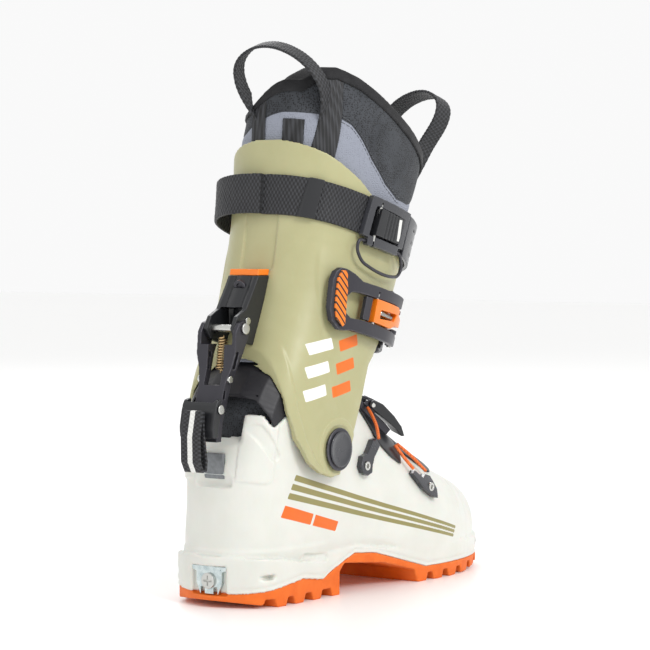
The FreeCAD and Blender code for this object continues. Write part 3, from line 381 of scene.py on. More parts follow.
@dataclass(frozen=True)
class Finish:
    """A real material and the way its surface was made."""
    name: str
    base: str                       # main colour
    surface: Surface
    roughness: float
    metallic: float = 0.0
    ior: float = 1.5
    second: str = ""                # colour of the mottling; on a woven finish the painted highlight on raised yarns, on a knitted one the painted shade in the holes
    mottle: float = 0.25            # how much of the second colour shows
    mottle_mm: float = 18.0         # size of its patches
    grain_mm: float = 0.45          # texture, yarn or brush-line spacing
    depth_mm: float = 0.03          # height of that texture
    worn: str = ""                  # colour on worn crests
    wear: float = 0.35
    mark_a: str = ""                # printed or inset colours, where the piece says so
    mark_b: str = ""
    coat: float = 0.0
    sheen: float = 0.0
    soft_light: float = 0.0         # subsurface share of light plastics

    def build(self) -> bpy.types.Material:
        """The finish as a node material."""
        material = bpy.data.materials.new(self.name)
        material.use_nodes = True
        tree = material.node_tree
        shader = next(n for n in tree.nodes if n.type == "BSDF_PRINCIPLED")
        rest = add(tree, "ShaderNodeAttribute", attribute_name="rest").outputs["Vector"]
        patches = add(tree, "ShaderNodeTexNoise", {"Vector": rest, "Scale": 1 / self.mottle_mm,
                                                   "Detail": 4.0})
        share = add(tree, "ShaderNodeMapRange", {"Value": patches.outputs["Fac"], "From Min": 0.35,
                                                 "From Max": 0.65, "To Max": self.mottle})
        colour = add(tree, "ShaderNodeMix", {"Factor": share.outputs[0], "A": linear(self.base),
                                             "B": linear(self.second or self.base)}, data_type="RGBA")
        colour = colour.outputs["Result"]
        height, colour = self.texture(tree, rest, colour)
        for layer, hue in (("mark_a", self.mark_a), ("mark_b", self.mark_b)):
            if hue:
                inside = add(tree, "ShaderNodeAttribute", attribute_name=layer)
                edge = add(tree, "ShaderNodeMapRange", {"Value": inside.outputs["Fac"], "From Min": -0.12,
                                                        "From Max": 0.12})
                colour = add(tree, "ShaderNodeMix", {"Factor": edge.outputs[0], "A": colour,
                                                     "B": linear(hue)}, data_type="RGBA").outputs["Result"]
        if self.worn:
            crest = add(tree, "ShaderNodeAttribute", attribute_name="crest")
            scuffs = add(tree, "ShaderNodeTexNoise", {"Vector": rest, "Scale": 0.6, "Detail": 6.0})
            both = add(tree, "ShaderNodeMath", {0: crest.outputs["Fac"], 1: scuffs.outputs["Fac"]},
                       operation="MULTIPLY")
            amount = add(tree, "ShaderNodeMapRange", {"Value": both.outputs[0], "From Min": 0.12,
                                                      "From Max": 0.5, "To Max": self.wear})
            colour = add(tree, "ShaderNodeMix", {"Factor": amount.outputs[0], "A": colour,
                                                 "B": linear(self.worn)}, data_type="RGBA").outputs["Result"]
        tree.links.new(colour, shader.inputs["Base Color"])
        dull = add(tree, "ShaderNodeMapRange", {"Value": patches.outputs["Fac"], "From Min": 0.3,
                                                "From Max": 0.7, "To Min": self.roughness - 0.06,
                                                "To Max": self.roughness + 0.08})
        tree.links.new(dull.outputs[0], shader.inputs["Roughness"])
        bump = add(tree, "ShaderNodeBump", {"Height": height, "Distance": self.depth_mm * MM,
                                            "Strength": 1.0})
        tree.links.new(bump.outputs["Normal"], shader.inputs["Normal"])
        shader.inputs["Metallic"].default_value = self.metallic
        shader.inputs["IOR"].default_value = self.ior
        shader.inputs["Coat Weight"].default_value = self.coat
        shader.inputs["Sheen Weight"].default_value = self.sheen
        shader.inputs["Subsurface Weight"].default_value = self.soft_light
        shader.inputs["Subsurface Scale"].default_value = 2.0 * MM
        return material

    def texture(self, tree: bpy.types.NodeTree, rest: bpy.types.NodeSocket,
                colour: bpy.types.NodeSocket) -> tuple[bpy.types.NodeSocket, bpy.types.NodeSocket]:
        """Fine texture of the surface.

        Args:
            tree: The material's node tree.
            rest: Place on the piece in millimetres.
            colour: Colour so far.
        Returns:
            Height and colour.
        """
        if self.surface in (Surface.MOULDED, Surface.PLATED):
            grain = add(tree, "ShaderNodeTexNoise", {"Vector": rest, "Scale": 1 / self.grain_mm,
                                                     "Detail": 3.0})
            return grain.outputs["Fac"], colour
        if self.surface is Surface.BRUSHED:
            squeeze = add(tree, "ShaderNodeVectorMath", {0: rest, 1: (0.06, 0.06, 1.0)},
                          operation="MULTIPLY")
            lines = add(tree, "ShaderNodeTexNoise", {"Vector": squeeze.outputs[0],
                                                     "Scale": 1 / self.grain_mm})
            return lines.outputs["Fac"], colour
        if self.surface is Surface.KNITTED:
            # an open knit: round holes a yarn's width across, darkened to the second colour as painted shade
            # in the holes
            holes = add(tree, "ShaderNodeTexVoronoi", {"Vector": rest, "Scale": 1 / self.grain_mm,
                                                       "Randomness": 0.6})
            depth = add(tree, "ShaderNodeMapRange", {"Value": holes.outputs["Distance"], "From Min": 0.15,
                                                     "From Max": 0.5})
            tone = add(tree, "ShaderNodeMix", {"Factor": depth.outputs[0],
                                               "A": linear(self.second or self.base), "B": colour},
                       data_type="RGBA")
            return depth.outputs[0], tone.outputs["Result"]
        # plain weave: warp and weft pass over each other every yarn; the raised yarns take the lighter second
        # colour, a painted highlight
        place = add(tree, "ShaderNodeAttribute", attribute_name="weave").outputs["Vector"]
        split = add(tree, "ShaderNodeSeparateXYZ", {0: place})
        waves = []
        for axis, stretch in (("X", 1.0), ("Y", 1.6)):
            scaled = add(tree, "ShaderNodeMath", {0: split.outputs[axis],
                                                  1: math.pi / self.grain_mm / stretch},
                         operation="MULTIPLY")
            waves.append(add(tree, "ShaderNodeMath", {0: scaled.outputs[0]}, operation="SINE").outputs[0])
        over = add(tree, "ShaderNodeMath", {0: waves[0], 1: waves[1]}, operation="MULTIPLY")
        height = add(tree, "ShaderNodeMapRange", {"Value": over.outputs[0], "From Min": -0.6,
                                                  "From Max": 0.8})
        tone = add(tree, "ShaderNodeMix", {"Factor": height.outputs[0], "A": linear(self.base),
                                           "B": linear(self.second or self.base)}, data_type="RGBA")
        return height.outputs[0], tone.outputs["Result"]


# Injection-moulded polyamide: even, slightly translucent, with a fine spark-eroded grain.
SHELL = Finish("polyamide_moulded_white", "#d8d8d1", Surface.MOULDED, 0.38, second="#cccdc3", mottle=0.35,
               grain_mm=0.5, depth_mm=0.02, worn="#e6e6df", wear=0.3, mark_a="#8c8450", mark_b="#df660e",
               soft_light=0.12)
# The same polyamide in sage: light breaks softly on its grain.
CUFF = Finish("polyamide_moulded_sage", "#adaa80", Surface.MOULDED, 0.36, second="#a29e73", mottle=0.4,
              grain_mm=0.5, depth_mm=0.02, worn="#c3c09c", wear=0.35, mark_a="#eeeee8", mark_b="#e26a0c",
              soft_light=0.06)
# Vulcanised rubber: dull, a little darker where it scuffs on rock.
RUBBER = Finish("rubber_moulded_orange", "#e66a06", Surface.MOULDED, 0.55, second="#d65c04", mottle=0.6,
                mottle_mm=9, grain_mm=0.35, depth_mm=0.05, worn="#f08a48", wear=0.4)
# Glass-filled nylon: near black, satin.
NYLON = Finish("nylon_moulded_black", "#1e1f22", Surface.MOULDED, 0.34, second="#17181a", grain_mm=0.4,
               depth_mm=0.02, worn="#3c3d42", wear=0.5)
NYLON_MARKED = replace(NYLON, name="nylon_moulded_striped", mark_a="#d9d9d6")
# Polished acetal: dark grey with clear highlights.
ACETAL = Finish("acetal_polished_grey", "#333439", Surface.MOULDED, 0.26, second="#2b2c30", grain_mm=0.8,
                depth_mm=0.008, worn="#55565c", wear=0.5, coat=0.2)
# Orange acetal of the catch, trim and grip, printed black where the grip is ribbed.
ORANGE = Finish("acetal_moulded_orange", "#f07c14", Surface.MOULDED, 0.32, second="#e36d0a", mottle=0.4,
                grain_mm=0.6, depth_mm=0.012, worn="#f9a050", wear=0.4, mark_a="#1b1614", coat=0.15)
# Forged aluminium with a dark anodised skin.
ANODISED = Finish("aluminium_anodised_black", "#3c3b41", Surface.BRUSHED, 0.36, metallic=0.5,
                  second="#333238", grain_mm=0.3, depth_mm=0.006, worn="#77767c", wear=0.6)
# Steel with a passivated zinc layer: pale, faintly green, cloudy.
ZINC = Finish("steel_zinc_plated", "#cdd6d6", Surface.PLATED, 0.22, metallic=0.95, second="#a9b8bb",
              mottle=0.8, mottle_mm=4, grain_mm=0.6, depth_mm=0.01, worn="#e8ece8", wear=0.6)
# Steel plate with a grey phosphate skin.
PHOSPHATED = Finish("steel_phosphated_grey", "#84878a", Surface.PLATED, 0.5, metallic=0.6, second="#707375",
                    mottle=0.6, mottle_mm=3, grain_mm=0.5, depth_mm=0.01)
# Stainless steel of rivets and pins.
STAINLESS = Finish("steel_stainless_turned", "#c9c9c5", Surface.BRUSHED, 0.26, metallic=1.0, second="#b4b4b0",
                   grain_mm=0.25, depth_mm=0.004)
# Drawn spring wire with a bronze-coloured coat.
SPRING = Finish("spring_wire_bronze", "#cbb085", Surface.PLATED, 0.28, metallic=0.9, second="#a58757",
                mottle=0.5, mottle_mm=3, grain_mm=0.5, depth_mm=0.005)
# Polyester webbing, 1 mm yarns drawn at 1.3 mm so that they show, with a grey painted highlight on the raised
# yarns.
WEBBING = Finish("polyester_woven_black", "#0b0b0d", Surface.WOVEN, 0.6, second="#343539", grain_mm=1.3,
                 depth_mm=0.35, sheen=0.04, mark_a="#e4e4e0")
# Spacer knit of the lining with its bonded grey panels; its near-black second colour gives random patches and
# the painted shade in the knit's holes.
LINING = Finish("polyester_spacer_knit", "#3a3d42", Surface.KNITTED, 0.85, second="#08080a", mottle=0.3,
                grain_mm=1.3, depth_mm=0.25, sheen=0.06, mark_a="#8b8f9b")
LINING_PLAIN = replace(LINING, name="polyester_spacer_knit_plain", mark_a="")
# Brushed tape folded over the edge; its darker second colour gives random patches and the painted shade in
# the holes.
TAPE = Finish("polyamide_brushed_tape", "#1a1a1d", Surface.KNITTED, 0.85, second="#111113", mottle=0.5,
              mottle_mm=6, grain_mm=0.7, depth_mm=0.12, sheen=0.08)
# Soft thermoplastic rubber of the bellows.
BELLOWS = Finish("rubber_soft_black", "#1d1c21", Surface.MOULDED, 0.45, second="#151418", grain_mm=0.5,
                 depth_mm=0.05)
# Steel cable in an orange woven sleeve, with a paler orange painted highlight on the raised yarns.
CABLE = Finish("cable_sleeved_orange", "#d85a14", Surface.WOVEN, 0.45, second="#f08038", grain_mm=0.7,
               depth_mm=0.12)
# Moulded foam under a cloth top; the darker second colour gives random patches and the painted shade in the
# cloth's holes.
FOAM = Finish("foam_cloth_grey", "#5a5e64", Surface.KNITTED, 0.9, second="#3f4247", grain_mm=1.2,
              depth_mm=0.15, sheen=0.3)
# Twisted polyester thread.
THREAD = Finish("polyester_sewing_thread", "#4b4d52", Surface.MOULDED, 0.6, grain_mm=0.3, depth_mm=0.05,
                sheen=0.3)
_built: dict[str, bpy.types.Material] = {}


def material_of(finish: Finish) -> bpy.types.Material:
    """The finish's material, built once."""
    if finish.name not in _built:
        _built[finish.name] = finish.build()
    return _built[finish.name]


def dress(piece: bpy.types.Object, finish: Finish, body: str, nodes: Sequence[str] = (),
          marks: Sequence[Points] = (), weave: Optional[Points] = None) -> bpy.types.Object:
    """Gives a piece its finish and its place on a body.

    Args:
        piece: The piece, in place.
        finish: What it is made of.
        body: The CAD body that it moves with.
        nodes: CAD nodes that it stands for.
        marks: Distances into its two printed colours.
        weave: Place along and across the webbing.
    Returns:
        The piece.
    """
    mesh = piece.data
    mesh.materials.clear()
    mesh.materials.append(material_of(finish))
    co = read_points(mesh)
    store(mesh, "rest", co)
    store(mesh, "crest", worn_edges(mesh))
    for layer, values in zip(("mark_a", "mark_b"), list(marks) + [None, None]):
        store(mesh, layer, np.full(len(co), -1.0) if values is None else values)
    store(mesh, "weave", co if weave is None else weave)
    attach(piece, body)
    if nodes:
        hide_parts(*nodes)
    LOG.info("%s: %d faces on %s", piece.name, len(mesh.polygons), body)
    return piece


def body_name(node: str) -> str:
    """The body that a CAD node rides on."""
    return frame["nodes"][node]["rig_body"]


def hard_part(node: str, finish: Finish, voxel: float = 0.4, passes: int = 3,
              shape: Optional[Shaper] = None,
              marks: Sequence[Callable[[Points], Points]] = ()) -> bpy.types.Object:
    """A moulded or metal part with softened edges in place of a CAD node.

    Args:
        node: The CAD node.
        finish: What it is made of.
        voxel: Mesh size in millimetres.
        passes: Softening of the edges.
        shape: Gives each corner's outward move from points and normals.
        marks: Give the distances into the printed colours.
    Returns:
        The piece.
    """
    piece = remeshed(node + "_made", [node], voxel, passes)
    if shape:
        co, normals = read_points(piece.data), read_normals(piece.data)
        write_points(piece.data, co + normals * shape(co, normals)[:, None])
    rest = read_points(piece.data)
    return dress(piece, finish, body_name(node), [node], [m(rest) for m in marks])


# ---- sub-assemblies ------------------------------------------------------------------------
@dataclass
class LowerBoot:
    """Rubber sole, white shell and the metal fittings for a binding."""
    rubber_line: list = field(default_factory=lambda: [(-50, 8.3), (3, 15.6), (26, 12.3), (44, 19.5),
                                                       (59, 25.5), (78, 24.0), (130, 9.7), (244, 9.3)])
    crease_x: tuple = (184.0, 194.0)
    pad_middle: tuple = (-30.0, 99.0)
    pad_half: tuple = (9.0, 21.0)
    pad_gap: float = 16.5           # half width of the gap between the heel corners, where no pad is
    line_half: float = 0.13         # half width of a stripe, as a share of the set of stripes

    def shell_shape(self, co: Points, normals: Points) -> Points:
        """Moulded relief of the shell.

        Args:
            co: Points in millimetres.
            normals: Their normals.
        Returns:
            Outward moves.
        """
        x, y, z = co.T
        outward = normals[:, 1] * np.sign(y)
        outer = ramp(outward, 0.1, 0.6)
        pad = ramp(plate_distance(x, z, self.pad_middle, self.pad_half, 4.0, -8), -0.8, 0.8) * outer
        pad = pad * (np.abs(y) > self.pad_gap)
        dent = ramp(plate_distance(x, z, (-25.5, 103.0), (3.4, 12.0), 2.5, 24), -0.6, 0.6) * outer
        rearward = ramp(-normals[:, 0], 0.3, 0.7)
        welt = ramp(z, 37.5, 34.5) * ramp(x, 34, 20) * ramp(np.abs(outward) + rearward, 0.2, 0.7)
        slot = ramp(plate_distance(x, z, (18, 27), (13, 2.4), 2.0, -6), -0.6, 0.6) * outer
        line = np.interp(x, *zip(*self.rubber_line)) + 2.4
        seam = bell(z - line, 0.8) * ramp(outward, 0.2, 0.6)
        top = ramp(normals[:, 2], 0.0, 0.5)
        creases = sum(bell(x + 0.004 * y * y - at, 1.1) for at in self.crease_x) * top
        keel = bell(y, 1.6) * top * ramp(x, 128, 150) * ramp(x, 180, 170)
        flank = ramp(plate_distance(x, z, (112, 44), (34, 9), 8.0, -14), -3, 5) * outer
        return (1.3 * pad - 1.2 * dent + 0.9 * welt - 1.4 * slot - 0.7 * seam - 0.9 * creases
                + 0.5 * keel - 0.5 * flank)

    def long_stripe(self, co: Points) -> Points:
        """Three plain olive lines that taper along the outer flank."""
        x, y, z = co.T
        share = (x + 14) / 185
        top, low = 84 - 52 * share, 68 - 43.5 * share
        at = (z - low) / (top - low)
        lines = np.max([self.line_half - np.abs(at - middle) for middle in (0.9, 0.5, 0.1)], axis=0)
        slant = x - 0.55 * (z - 50)
        ends = np.minimum(slant + 22, 176 - slant)
        return np.where(y < 0, np.minimum(lines * (top - low), ends), -1.0)

    def short_stripe(self, co: Points) -> Points:
        """A short orange bar with a slanted end under the lines."""
        x, y, z = co.T
        share = (x + 18) / 60
        half = 4.2 - 0.8 * share
        bar = half - np.abs(z - (60 - 16 * share))
        slant = x - 0.5 * (z - 50)
        gap = np.abs(slant - 12) - 1.2
        return np.where(y < 0, np.minimum(np.minimum(bar, gap), np.minimum(slant + 21, 40 - slant)), -1.0)

    def build(self) -> None:
        """Makes every piece of the lower boot."""
        hard_part("outsole", RUBBER, 0.8, 3)
        hard_part("lower_shell", SHELL, 0.9, 4, self.shell_shape,
                  [self.long_stripe, self.short_stripe])
        hard_part("heel_insert", ZINC, 0.22, 1)
        hard_part("heel_insert_screw", STAINLESS, 0.18, 1)
        hard_part("toe_inserts", STAINLESS, 0.35)
        hard_part("boot_board", NYLON, 1.4)
        hard_part("insole", FOAM, 1.2)
        hard_part("lock_plate", PHOSPHATED, 0.35)
        self.pivots()

    def pivots(self) -> None:
        """Cuff rivets with a dished cap on each side."""
        hard_part("pivot_rivets", ANODISED, 0.5)
        low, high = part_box("pivot_caps")
        dish = [(0, 11.2), (0.7, 11.5), (1.1, 11.2), (1.15, 10.4),
                (0.75, 9.6), (0.5, 6), (0.42, 3), (0.4, 0.05)]
        caps = []
        for sign, face in ((1, high.y / MM - 1.2), (-1, low.y / MM + 1.2)):
            start = Vector((PIVOT[0], face, PIVOT[1]))
            caps.append(turned_part("cap", dish, start, Vector((0, sign, 0))))
        dress(new_object("pivot_caps_turned", joined_mesh("caps", caps)), ACETAL, "shell",
              ["pivot_caps"])


@dataclass
class Cuff:
    """Sage cuff with its strap and strap hardware."""
    strap_height: float = 154.3
    strap_fall: float = 0.09
    rib_mm: float = 2.6             # width of a rib of the strap's weave
    strap_back: float = -54.0       # forward place where strap_height is measured
    strap_half: float = 12.5        # half the strap's width
    ring_middle: tuple = (12.0, -2.0)      # middle of the strap's ring, forward and sideways
    stand_off: float = 9.0          # of the slack strap behind the cuff
    slack_at: tuple = (135.0, 38.0)        # degrees round the leg: middle and half width of the slack
    tab_edge: list = field(default_factory=lambda: [(82.5, 8.7), (89.4, -1.5), (104.6, -11.3),
                                                    (122, -15.5), (140, -16.5), (162, -15.5)])

    def cuff_shape(self, co: Points, normals: Points) -> Points:
        """Moulded relief of the cuff: hinge boss, spine recess and a shaping line."""
        p, y, q = to_leg(co)
        outward = ramp(normals[:, 1] * np.sign(y), 0.2, 0.7)
        reach = np.hypot(co[:, 0] - PIVOT[0], co[:, 2] - PIVOT[1])
        boss = ramp(reach, 21.0, 19.5) * ramp(reach, 15.0, 16.0) * outward
        spine = ramp(plate_distance(y, q, (0, 128), (13, 24), 5), -0.8, 0.8) * ramp(p, -35, -45)
        back = ramp(-normals[:, 0], 0.2, 0.6)
        line = -36 + 0.0035 * (q - 118) ** 2
        shelf = ramp(p - line, -1.5, 1.5) * outward * ramp(q, 128, 112) * ramp(q, 20, 40)
        edge = co[:, 0] - np.interp(co[:, 2], *zip(*self.tab_edge))
        lip = ramp(edge, 7.5, 6.0) * ramp(co[:, 2], 166, 158) * outward
        return 0.8 * boss - 1.3 * spine * back + 0.7 * shelf * ramp(p, 44, 30) + 0.8 * lip

    def bars(self, co: Points, middle: float, heights: Sequence[float]) -> Points:
        """Plain slanted bars in place of any lettering, on the outer side.

        Args:
            co: Points in millimetres.
            middle: Forward place of the bars.
            heights: Height of each bar.
        Returns:
            Distance into the nearest bar.
        """
        p, y, q = to_leg(co)
        near = np.max([plate_distance(p, q, (middle, at), (9.5, 3.6), 0.6, 24) for at in heights], axis=0)
        return np.where(y < 0, near, -1.0)

    def white_bars(self, co: Points) -> Points:
        """The white bars."""
        return self.bars(co, -30.0, (61.0, 46.0, 31.0))

    def orange_bars(self, co: Points) -> Points:
        """The orange bars."""
        return self.bars(co, -6.0, (68.0, 53.0, 38.0))

    def cam_stripe(self, co: Points) -> Points:
        """A plain pale stripe along the cam's front edge."""
        p, _, q = to_leg(co)
        return plate_distance(p, q, (17.3, 147.0), (1.7, 7.0), 0.4, 6)

    def webbing_place(self, co: Points) -> Points:
        """Place of points on the strap, for its weave.

        Args:
            co: Points in millimetres.
        Returns:
            Distance round the leg and across the strap.
        """
        p, y, q = to_leg(co)
        ahead, aside = p - self.ring_middle[0], y - self.ring_middle[1]
        angle = np.arctan2(aside, ahead)
        fine = np.linspace(-math.pi, math.pi, 721)
        order = np.argsort(angle)
        near = np.interp(fine, angle[order], np.hypot(ahead, aside)[order])
        ring = np.stack([near * np.cos(fine), near * np.sin(fine)], 1)
        middle = slice(len(fine), 2 * len(fine))
        smooth = np.stack([np.convolve(np.tile(ring[:, k], 3), np.ones(15) / 15, "same")[middle]
                           for k in (0, 1)], 1)
        travel = np.concatenate([[0], np.cumsum(np.linalg.norm(np.diff(smooth, axis=0), axis=1))])
        along = np.interp(angle, fine, travel)
        across = q - self.strap_height + self.strap_fall * (p - self.strap_back)
        return np.stack([along, across, np.zeros(len(co))], 1)

    def strap(self) -> None:
        """Webbing strap round the cuff, with its slack at the rear inner corner."""
        piece = remeshed("power_strap_webbing", ["power_strap"], 0.5, 3)
        co, normals = read_points(piece.data), read_normals(piece.data)
        place = self.webbing_place(co)
        rows = np.sin(place[:, 0] * math.pi / self.rib_mm) * np.sin(place[:, 1] * math.pi / self.rib_mm)
        edge = ramp(np.abs(place[:, 1]), self.strap_half, self.strap_half - 2.0)
        p, y, _ = to_leg(co)
        angle = np.arctan2(y - self.ring_middle[1], p - self.ring_middle[0])
        slack = self.stand_off * bell(np.degrees(angle) - self.slack_at[0], self.slack_at[1])
        away = np.stack([np.cos(angle) * math.cos(LEAN), np.sin(angle),
                         -np.cos(angle) * math.sin(LEAN)], 1)
        write_points(piece.data, co + normals * (0.14 * rows * edge)[:, None] + away * slack[:, None])
        dress(piece, WEBBING, "cuff", ["power_strap"], weave=place)

    def build(self) -> None:
        """Makes the cuff and everything on its strap."""
        hard_part("cuff_shell", CUFF, 0.8, 4, self.cuff_shape,
                  [self.white_bars, self.orange_bars])
        self.strap()
        hard_part("strap_keeper", NYLON, 0.35)
        hard_part("strap_cam_frame", ACETAL, 0.4)
        hard_part("strap_cam_lever", NYLON_MARKED, 0.32, 2, marks=[self.cam_stripe])
        hard_part("strap_cam_pin", STAINLESS, 0.25)
        hard_part("strap_pull_ring", ANODISED, 0.3)
        hard_part("strap_plate", ACETAL, 0.45)


@dataclass
class Lining:
    """Padded liner, its folded tape, webbing loops and the ankle bellows."""
    panel_edge: list = field(default_factory=lambda: [(-62, 208), (-37, 209), (-28, 206), (-21, 200),
                                                      (-9, 188), (9, 176), (26, 170), (45, 171),
                                                      (61, 176), (75, 188)])
    cut_edge: list = field(default_factory=lambda: [(-80, 226), (-54, 228), (-47, 238), (-39, 240),
                                                    (-24, 237), (6, 226), (57, 208), (95, 200)])
    inner_edge: list = field(default_factory=lambda: [(-80, 207), (-40, 210), (6, 212), (57, 207),
                                                      (95, 200)])
    firm_height: float = 186.0      # height in the leg above which the lining's edge gives way
    quilt_mm: float = 26.0
    ray_from: float = 90.0          # sideways distance that is outside the leg
    loop_reach: float = 24.0        # rough distance of a loop's webbing from its middle
    bellows_reach: float = 67.9     # no folds beyond this distance from the cuff hinge
    fold_degrees: float = 3.2       # turn from one fold of the bellows to the next

    def settled(self, co: Points) -> Points:
        """Points of the lining with its soft edge lower towards the inner side of the leg."""
        p, y, q = to_leg(co)
        edge = np.interp(p, *zip(*self.cut_edge))
        drop = (edge - np.interp(p, *zip(*self.inner_edge))) * ramp(y, -12, 26)
        return co - (np.array([math.sin(LEAN), 0.0, math.cos(LEAN)])
                     * (drop * np.clip((q - self.firm_height) / (edge - self.firm_height), 0, 1.1))[:, None])

    def panel(self, co: Points) -> Points:
        """How far inside the grey bonded panel a point lies."""
        p, _, q = to_leg(co)
        return (np.interp(p, *zip(*self.panel_edge)) - q) * 0.8

    def padding(self, co: Points, normals: Points) -> Points:
        """Swelling of the padded cloth, pulled in along the panel's seam."""
        seam = bell(self.panel(co), 1.3)
        return 0.35 * ripple(co, self.quilt_mm, 1.7) - 0.45 * seam

    def soft_part(self, node: str, finish: Finish, voxel: float) -> bpy.types.Object:
        """A padded piece in place of a CAD node.

        Args:
            node: The CAD node.
            finish: What it is made of.
            voxel: Mesh size in millimetres.
        Returns:
            The piece.
        """
        piece = remeshed(node + "_sewn", [node], voxel, 4)
        co, normals = read_points(piece.data), read_normals(piece.data)
        write_points(piece.data, self.settled(co + normals * self.padding(co, normals)[:, None]))
        dress(piece, finish, body_name(node), [node], [self.panel(co)])
        return piece

    def seam_thread(self, liner: bpy.types.Object) -> None:
        """Two rows of stitches beside the panel's seam, on both sides of the leg."""
        tree = BVHTree.FromPolygons([v.co for v in liner.data.vertices],
                                    [tuple(f.vertices) for f in liner.data.polygons])
        rows = []
        for shift in (-1.8, 1.8):
            for side in (-1, 1):
                line = []
                for p in np.arange(-40, 33, 1.5):
                    q = float(np.interp(p, *zip(*self.panel_edge))) + shift
                    start = from_leg(p, side * self.ray_from, q) * MM
                    hit = tree.ray_cast(start, Vector((0, -side, 0)))[0]
                    if hit:
                        line.append(hit / MM + Vector((0, side * 0.1, 0)))
                rows.append(stitches("seam", line, 3.4, 2.4, 0.24))
        dress(new_object("liner_seam_thread", joined_mesh("seam", rows)), THREAD, "cuff")

    def loop(self, node: str) -> bpy.types.Object:
        """A webbing loop with ribs across it."""
        piece = remeshed(node + "_webbing", [node], 0.45, 3)
        co, normals = read_points(piece.data), read_normals(piece.data)
        middle = co.mean(0)
        along = np.arctan2(co[:, 2] - middle[2], co[:, 1] - middle[1]) * self.loop_reach
        place = np.stack([along, co[:, 0] - middle[0], np.zeros(len(co))], 1)
        write_points(piece.data, co + normals * (0.08 * np.sin(along * math.pi / YARN_MM))[:, None])
        return dress(piece, WEBBING, "cuff", [node], weave=place)

    def build(self) -> None:
        """Makes the liner."""
        liner = self.soft_part("liner_cuff", LINING, 1.0)
        self.soft_part("liner_tongue", LINING, 1.0)
        self.soft_part("liner_foot", LINING_PLAIN, 1.4)
        self.seam_thread(liner)
        self.tape()
        self.loop("rear_pull_loop")
        self.loop("front_pull_loop")
        self.patch()
        self.bellows()

    def tape(self) -> None:
        """Tape folded over the lining's edge, a little swollen."""
        piece = remeshed("liner_binding_tape", ["liner_binding"], 0.6, 4)
        co, normals = read_points(piece.data), read_normals(piece.data)
        swelling = 0.45 + 0.12 * ripple(co, 7.0, 0.4)
        write_points(piece.data, self.settled(co + normals * swelling[:, None]))
        dress(piece, TAPE, "cuff", ["liner_binding"])

    def patch(self) -> None:
        """Webbing sewn under the pull loops."""
        piece = remeshed("side_webbing_patch", ["side_webbing"], 0.35, 2)
        write_points(piece.data, self.settled(read_points(piece.data)))
        dress(piece, WEBBING, "cuff", ["side_webbing"])

    def bellows(self) -> None:
        """Rubber bellows between cuff and shell, folded round the hinge."""
        bellows = remeshed("ankle_gaiter_bellows", ["ankle_gaiter"], 0.7, 3)
        co, normals = read_points(bellows.data), read_normals(bellows.data)
        reach = np.hypot(co[:, 0] - PIVOT[0], co[:, 2] - PIVOT[1])
        angle = np.degrees(np.arctan2(co[:, 2] - PIVOT[1], co[:, 0] - PIVOT[0]))
        fold = 0.1 * np.sin(angle * math.pi / self.fold_degrees) * (reach < self.bellows_reach)
        write_points(bellows.data, co - normals * (0.2 + np.abs(fold))[:, None])
        dress(bellows, BELLOWS, "shell", ["ankle_gaiter"])


@dataclass
class WalkLock:
    """Lock between ski and walk at the heel: bracket, arm, spring, toggle and its strap."""
    wire_mm: float = 0.55
    coil_mm: float = 2.8
    turns: int = 12

    def spring(self) -> None:
        """Close-wound pull spring with a hook at each end."""
        low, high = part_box("lock_spring")
        top = Vector((-29.8, 0, high.z / MM - 1.2))
        end = Vector((-32.8, 0, low.z / MM + 1.2))
        axis = end - top
        along = axis.normalized()
        across = along.orthogonal().normalized()
        other = along.cross(across)
        route = [top - along * 1.5 + across * 1.2, top - along * 0.4 + across * 2.2]
        steps = self.turns * 16
        for i in range(steps + 1):
            a = 2 * math.pi * i / 16
            out = across * math.cos(a) + other * math.sin(a)
            route.append(top + axis * (i / steps) + out * self.coil_mm)
        route += [end + along * 0.5 + across * 2.0, end + along * 1.6 + across * 0.9]
        piece = new_object("lock_spring_coil", swept("coil", route, self.wire_mm, 10))
        dress(piece, SPRING, "lock_arm", ["lock_spring"])

    def strap(self) -> None:
        """Webbing loop through the toggle, with its pale centre line."""
        piece = remeshed("release_strap_webbing", ["release_strap"], 0.4, 3)
        co, normals = read_points(piece.data), read_normals(piece.data)
        ribs = np.sin(co[:, 2] * math.pi / YARN_MM) * ramp(np.abs(co[:, 1]), 7.2, 6.0)
        write_points(piece.data, co + normals * (0.09 * ribs)[:, None])
        place = np.stack([co[:, 2], co[:, 1], np.zeros(len(co))], 1)
        stripe = 1.9 - np.abs(co[:, 1])
        dress(piece, WEBBING, "release_lever", ["release_strap"], [stripe], place)

    def bracket_ribs(self, co: Points, normals: Points) -> Points:
        """A rounded middle between two ribs on the bracket's back."""
        back = ramp(-normals[:, 0], 0.3, 0.8) * ramp(co[:, 2], 180, 186)
        side = np.abs(co[:, 1])
        return back * (0.7 * bell(side, 3.4) - 0.9 * bell(side - 6.0, 1.1) + 0.5 * bell(side - 9.4, 1.3))

    def build(self) -> None:
        """Makes the walk lock."""
        hard_part("spine_bracket", NYLON, 0.4, 3, self.bracket_ribs)
        hard_part("bracket_trim", ORANGE, 0.35)
        hard_part("bracket_screw", ANODISED, 0.25)
        hard_part("bracket_rivets", STAINLESS, 0.25)
        hard_part("lock_arm", ANODISED, 0.4)
        hard_part("lock_arm_pin", STAINLESS, 0.35)
        hard_part("lock_arm_rivets", STAINLESS, 0.25)
        hard_part("release_lever", NYLON, 0.4)
        hard_part("release_lever_pin", STAINLESS, 0.3)
        self.spring()
        self.strap()


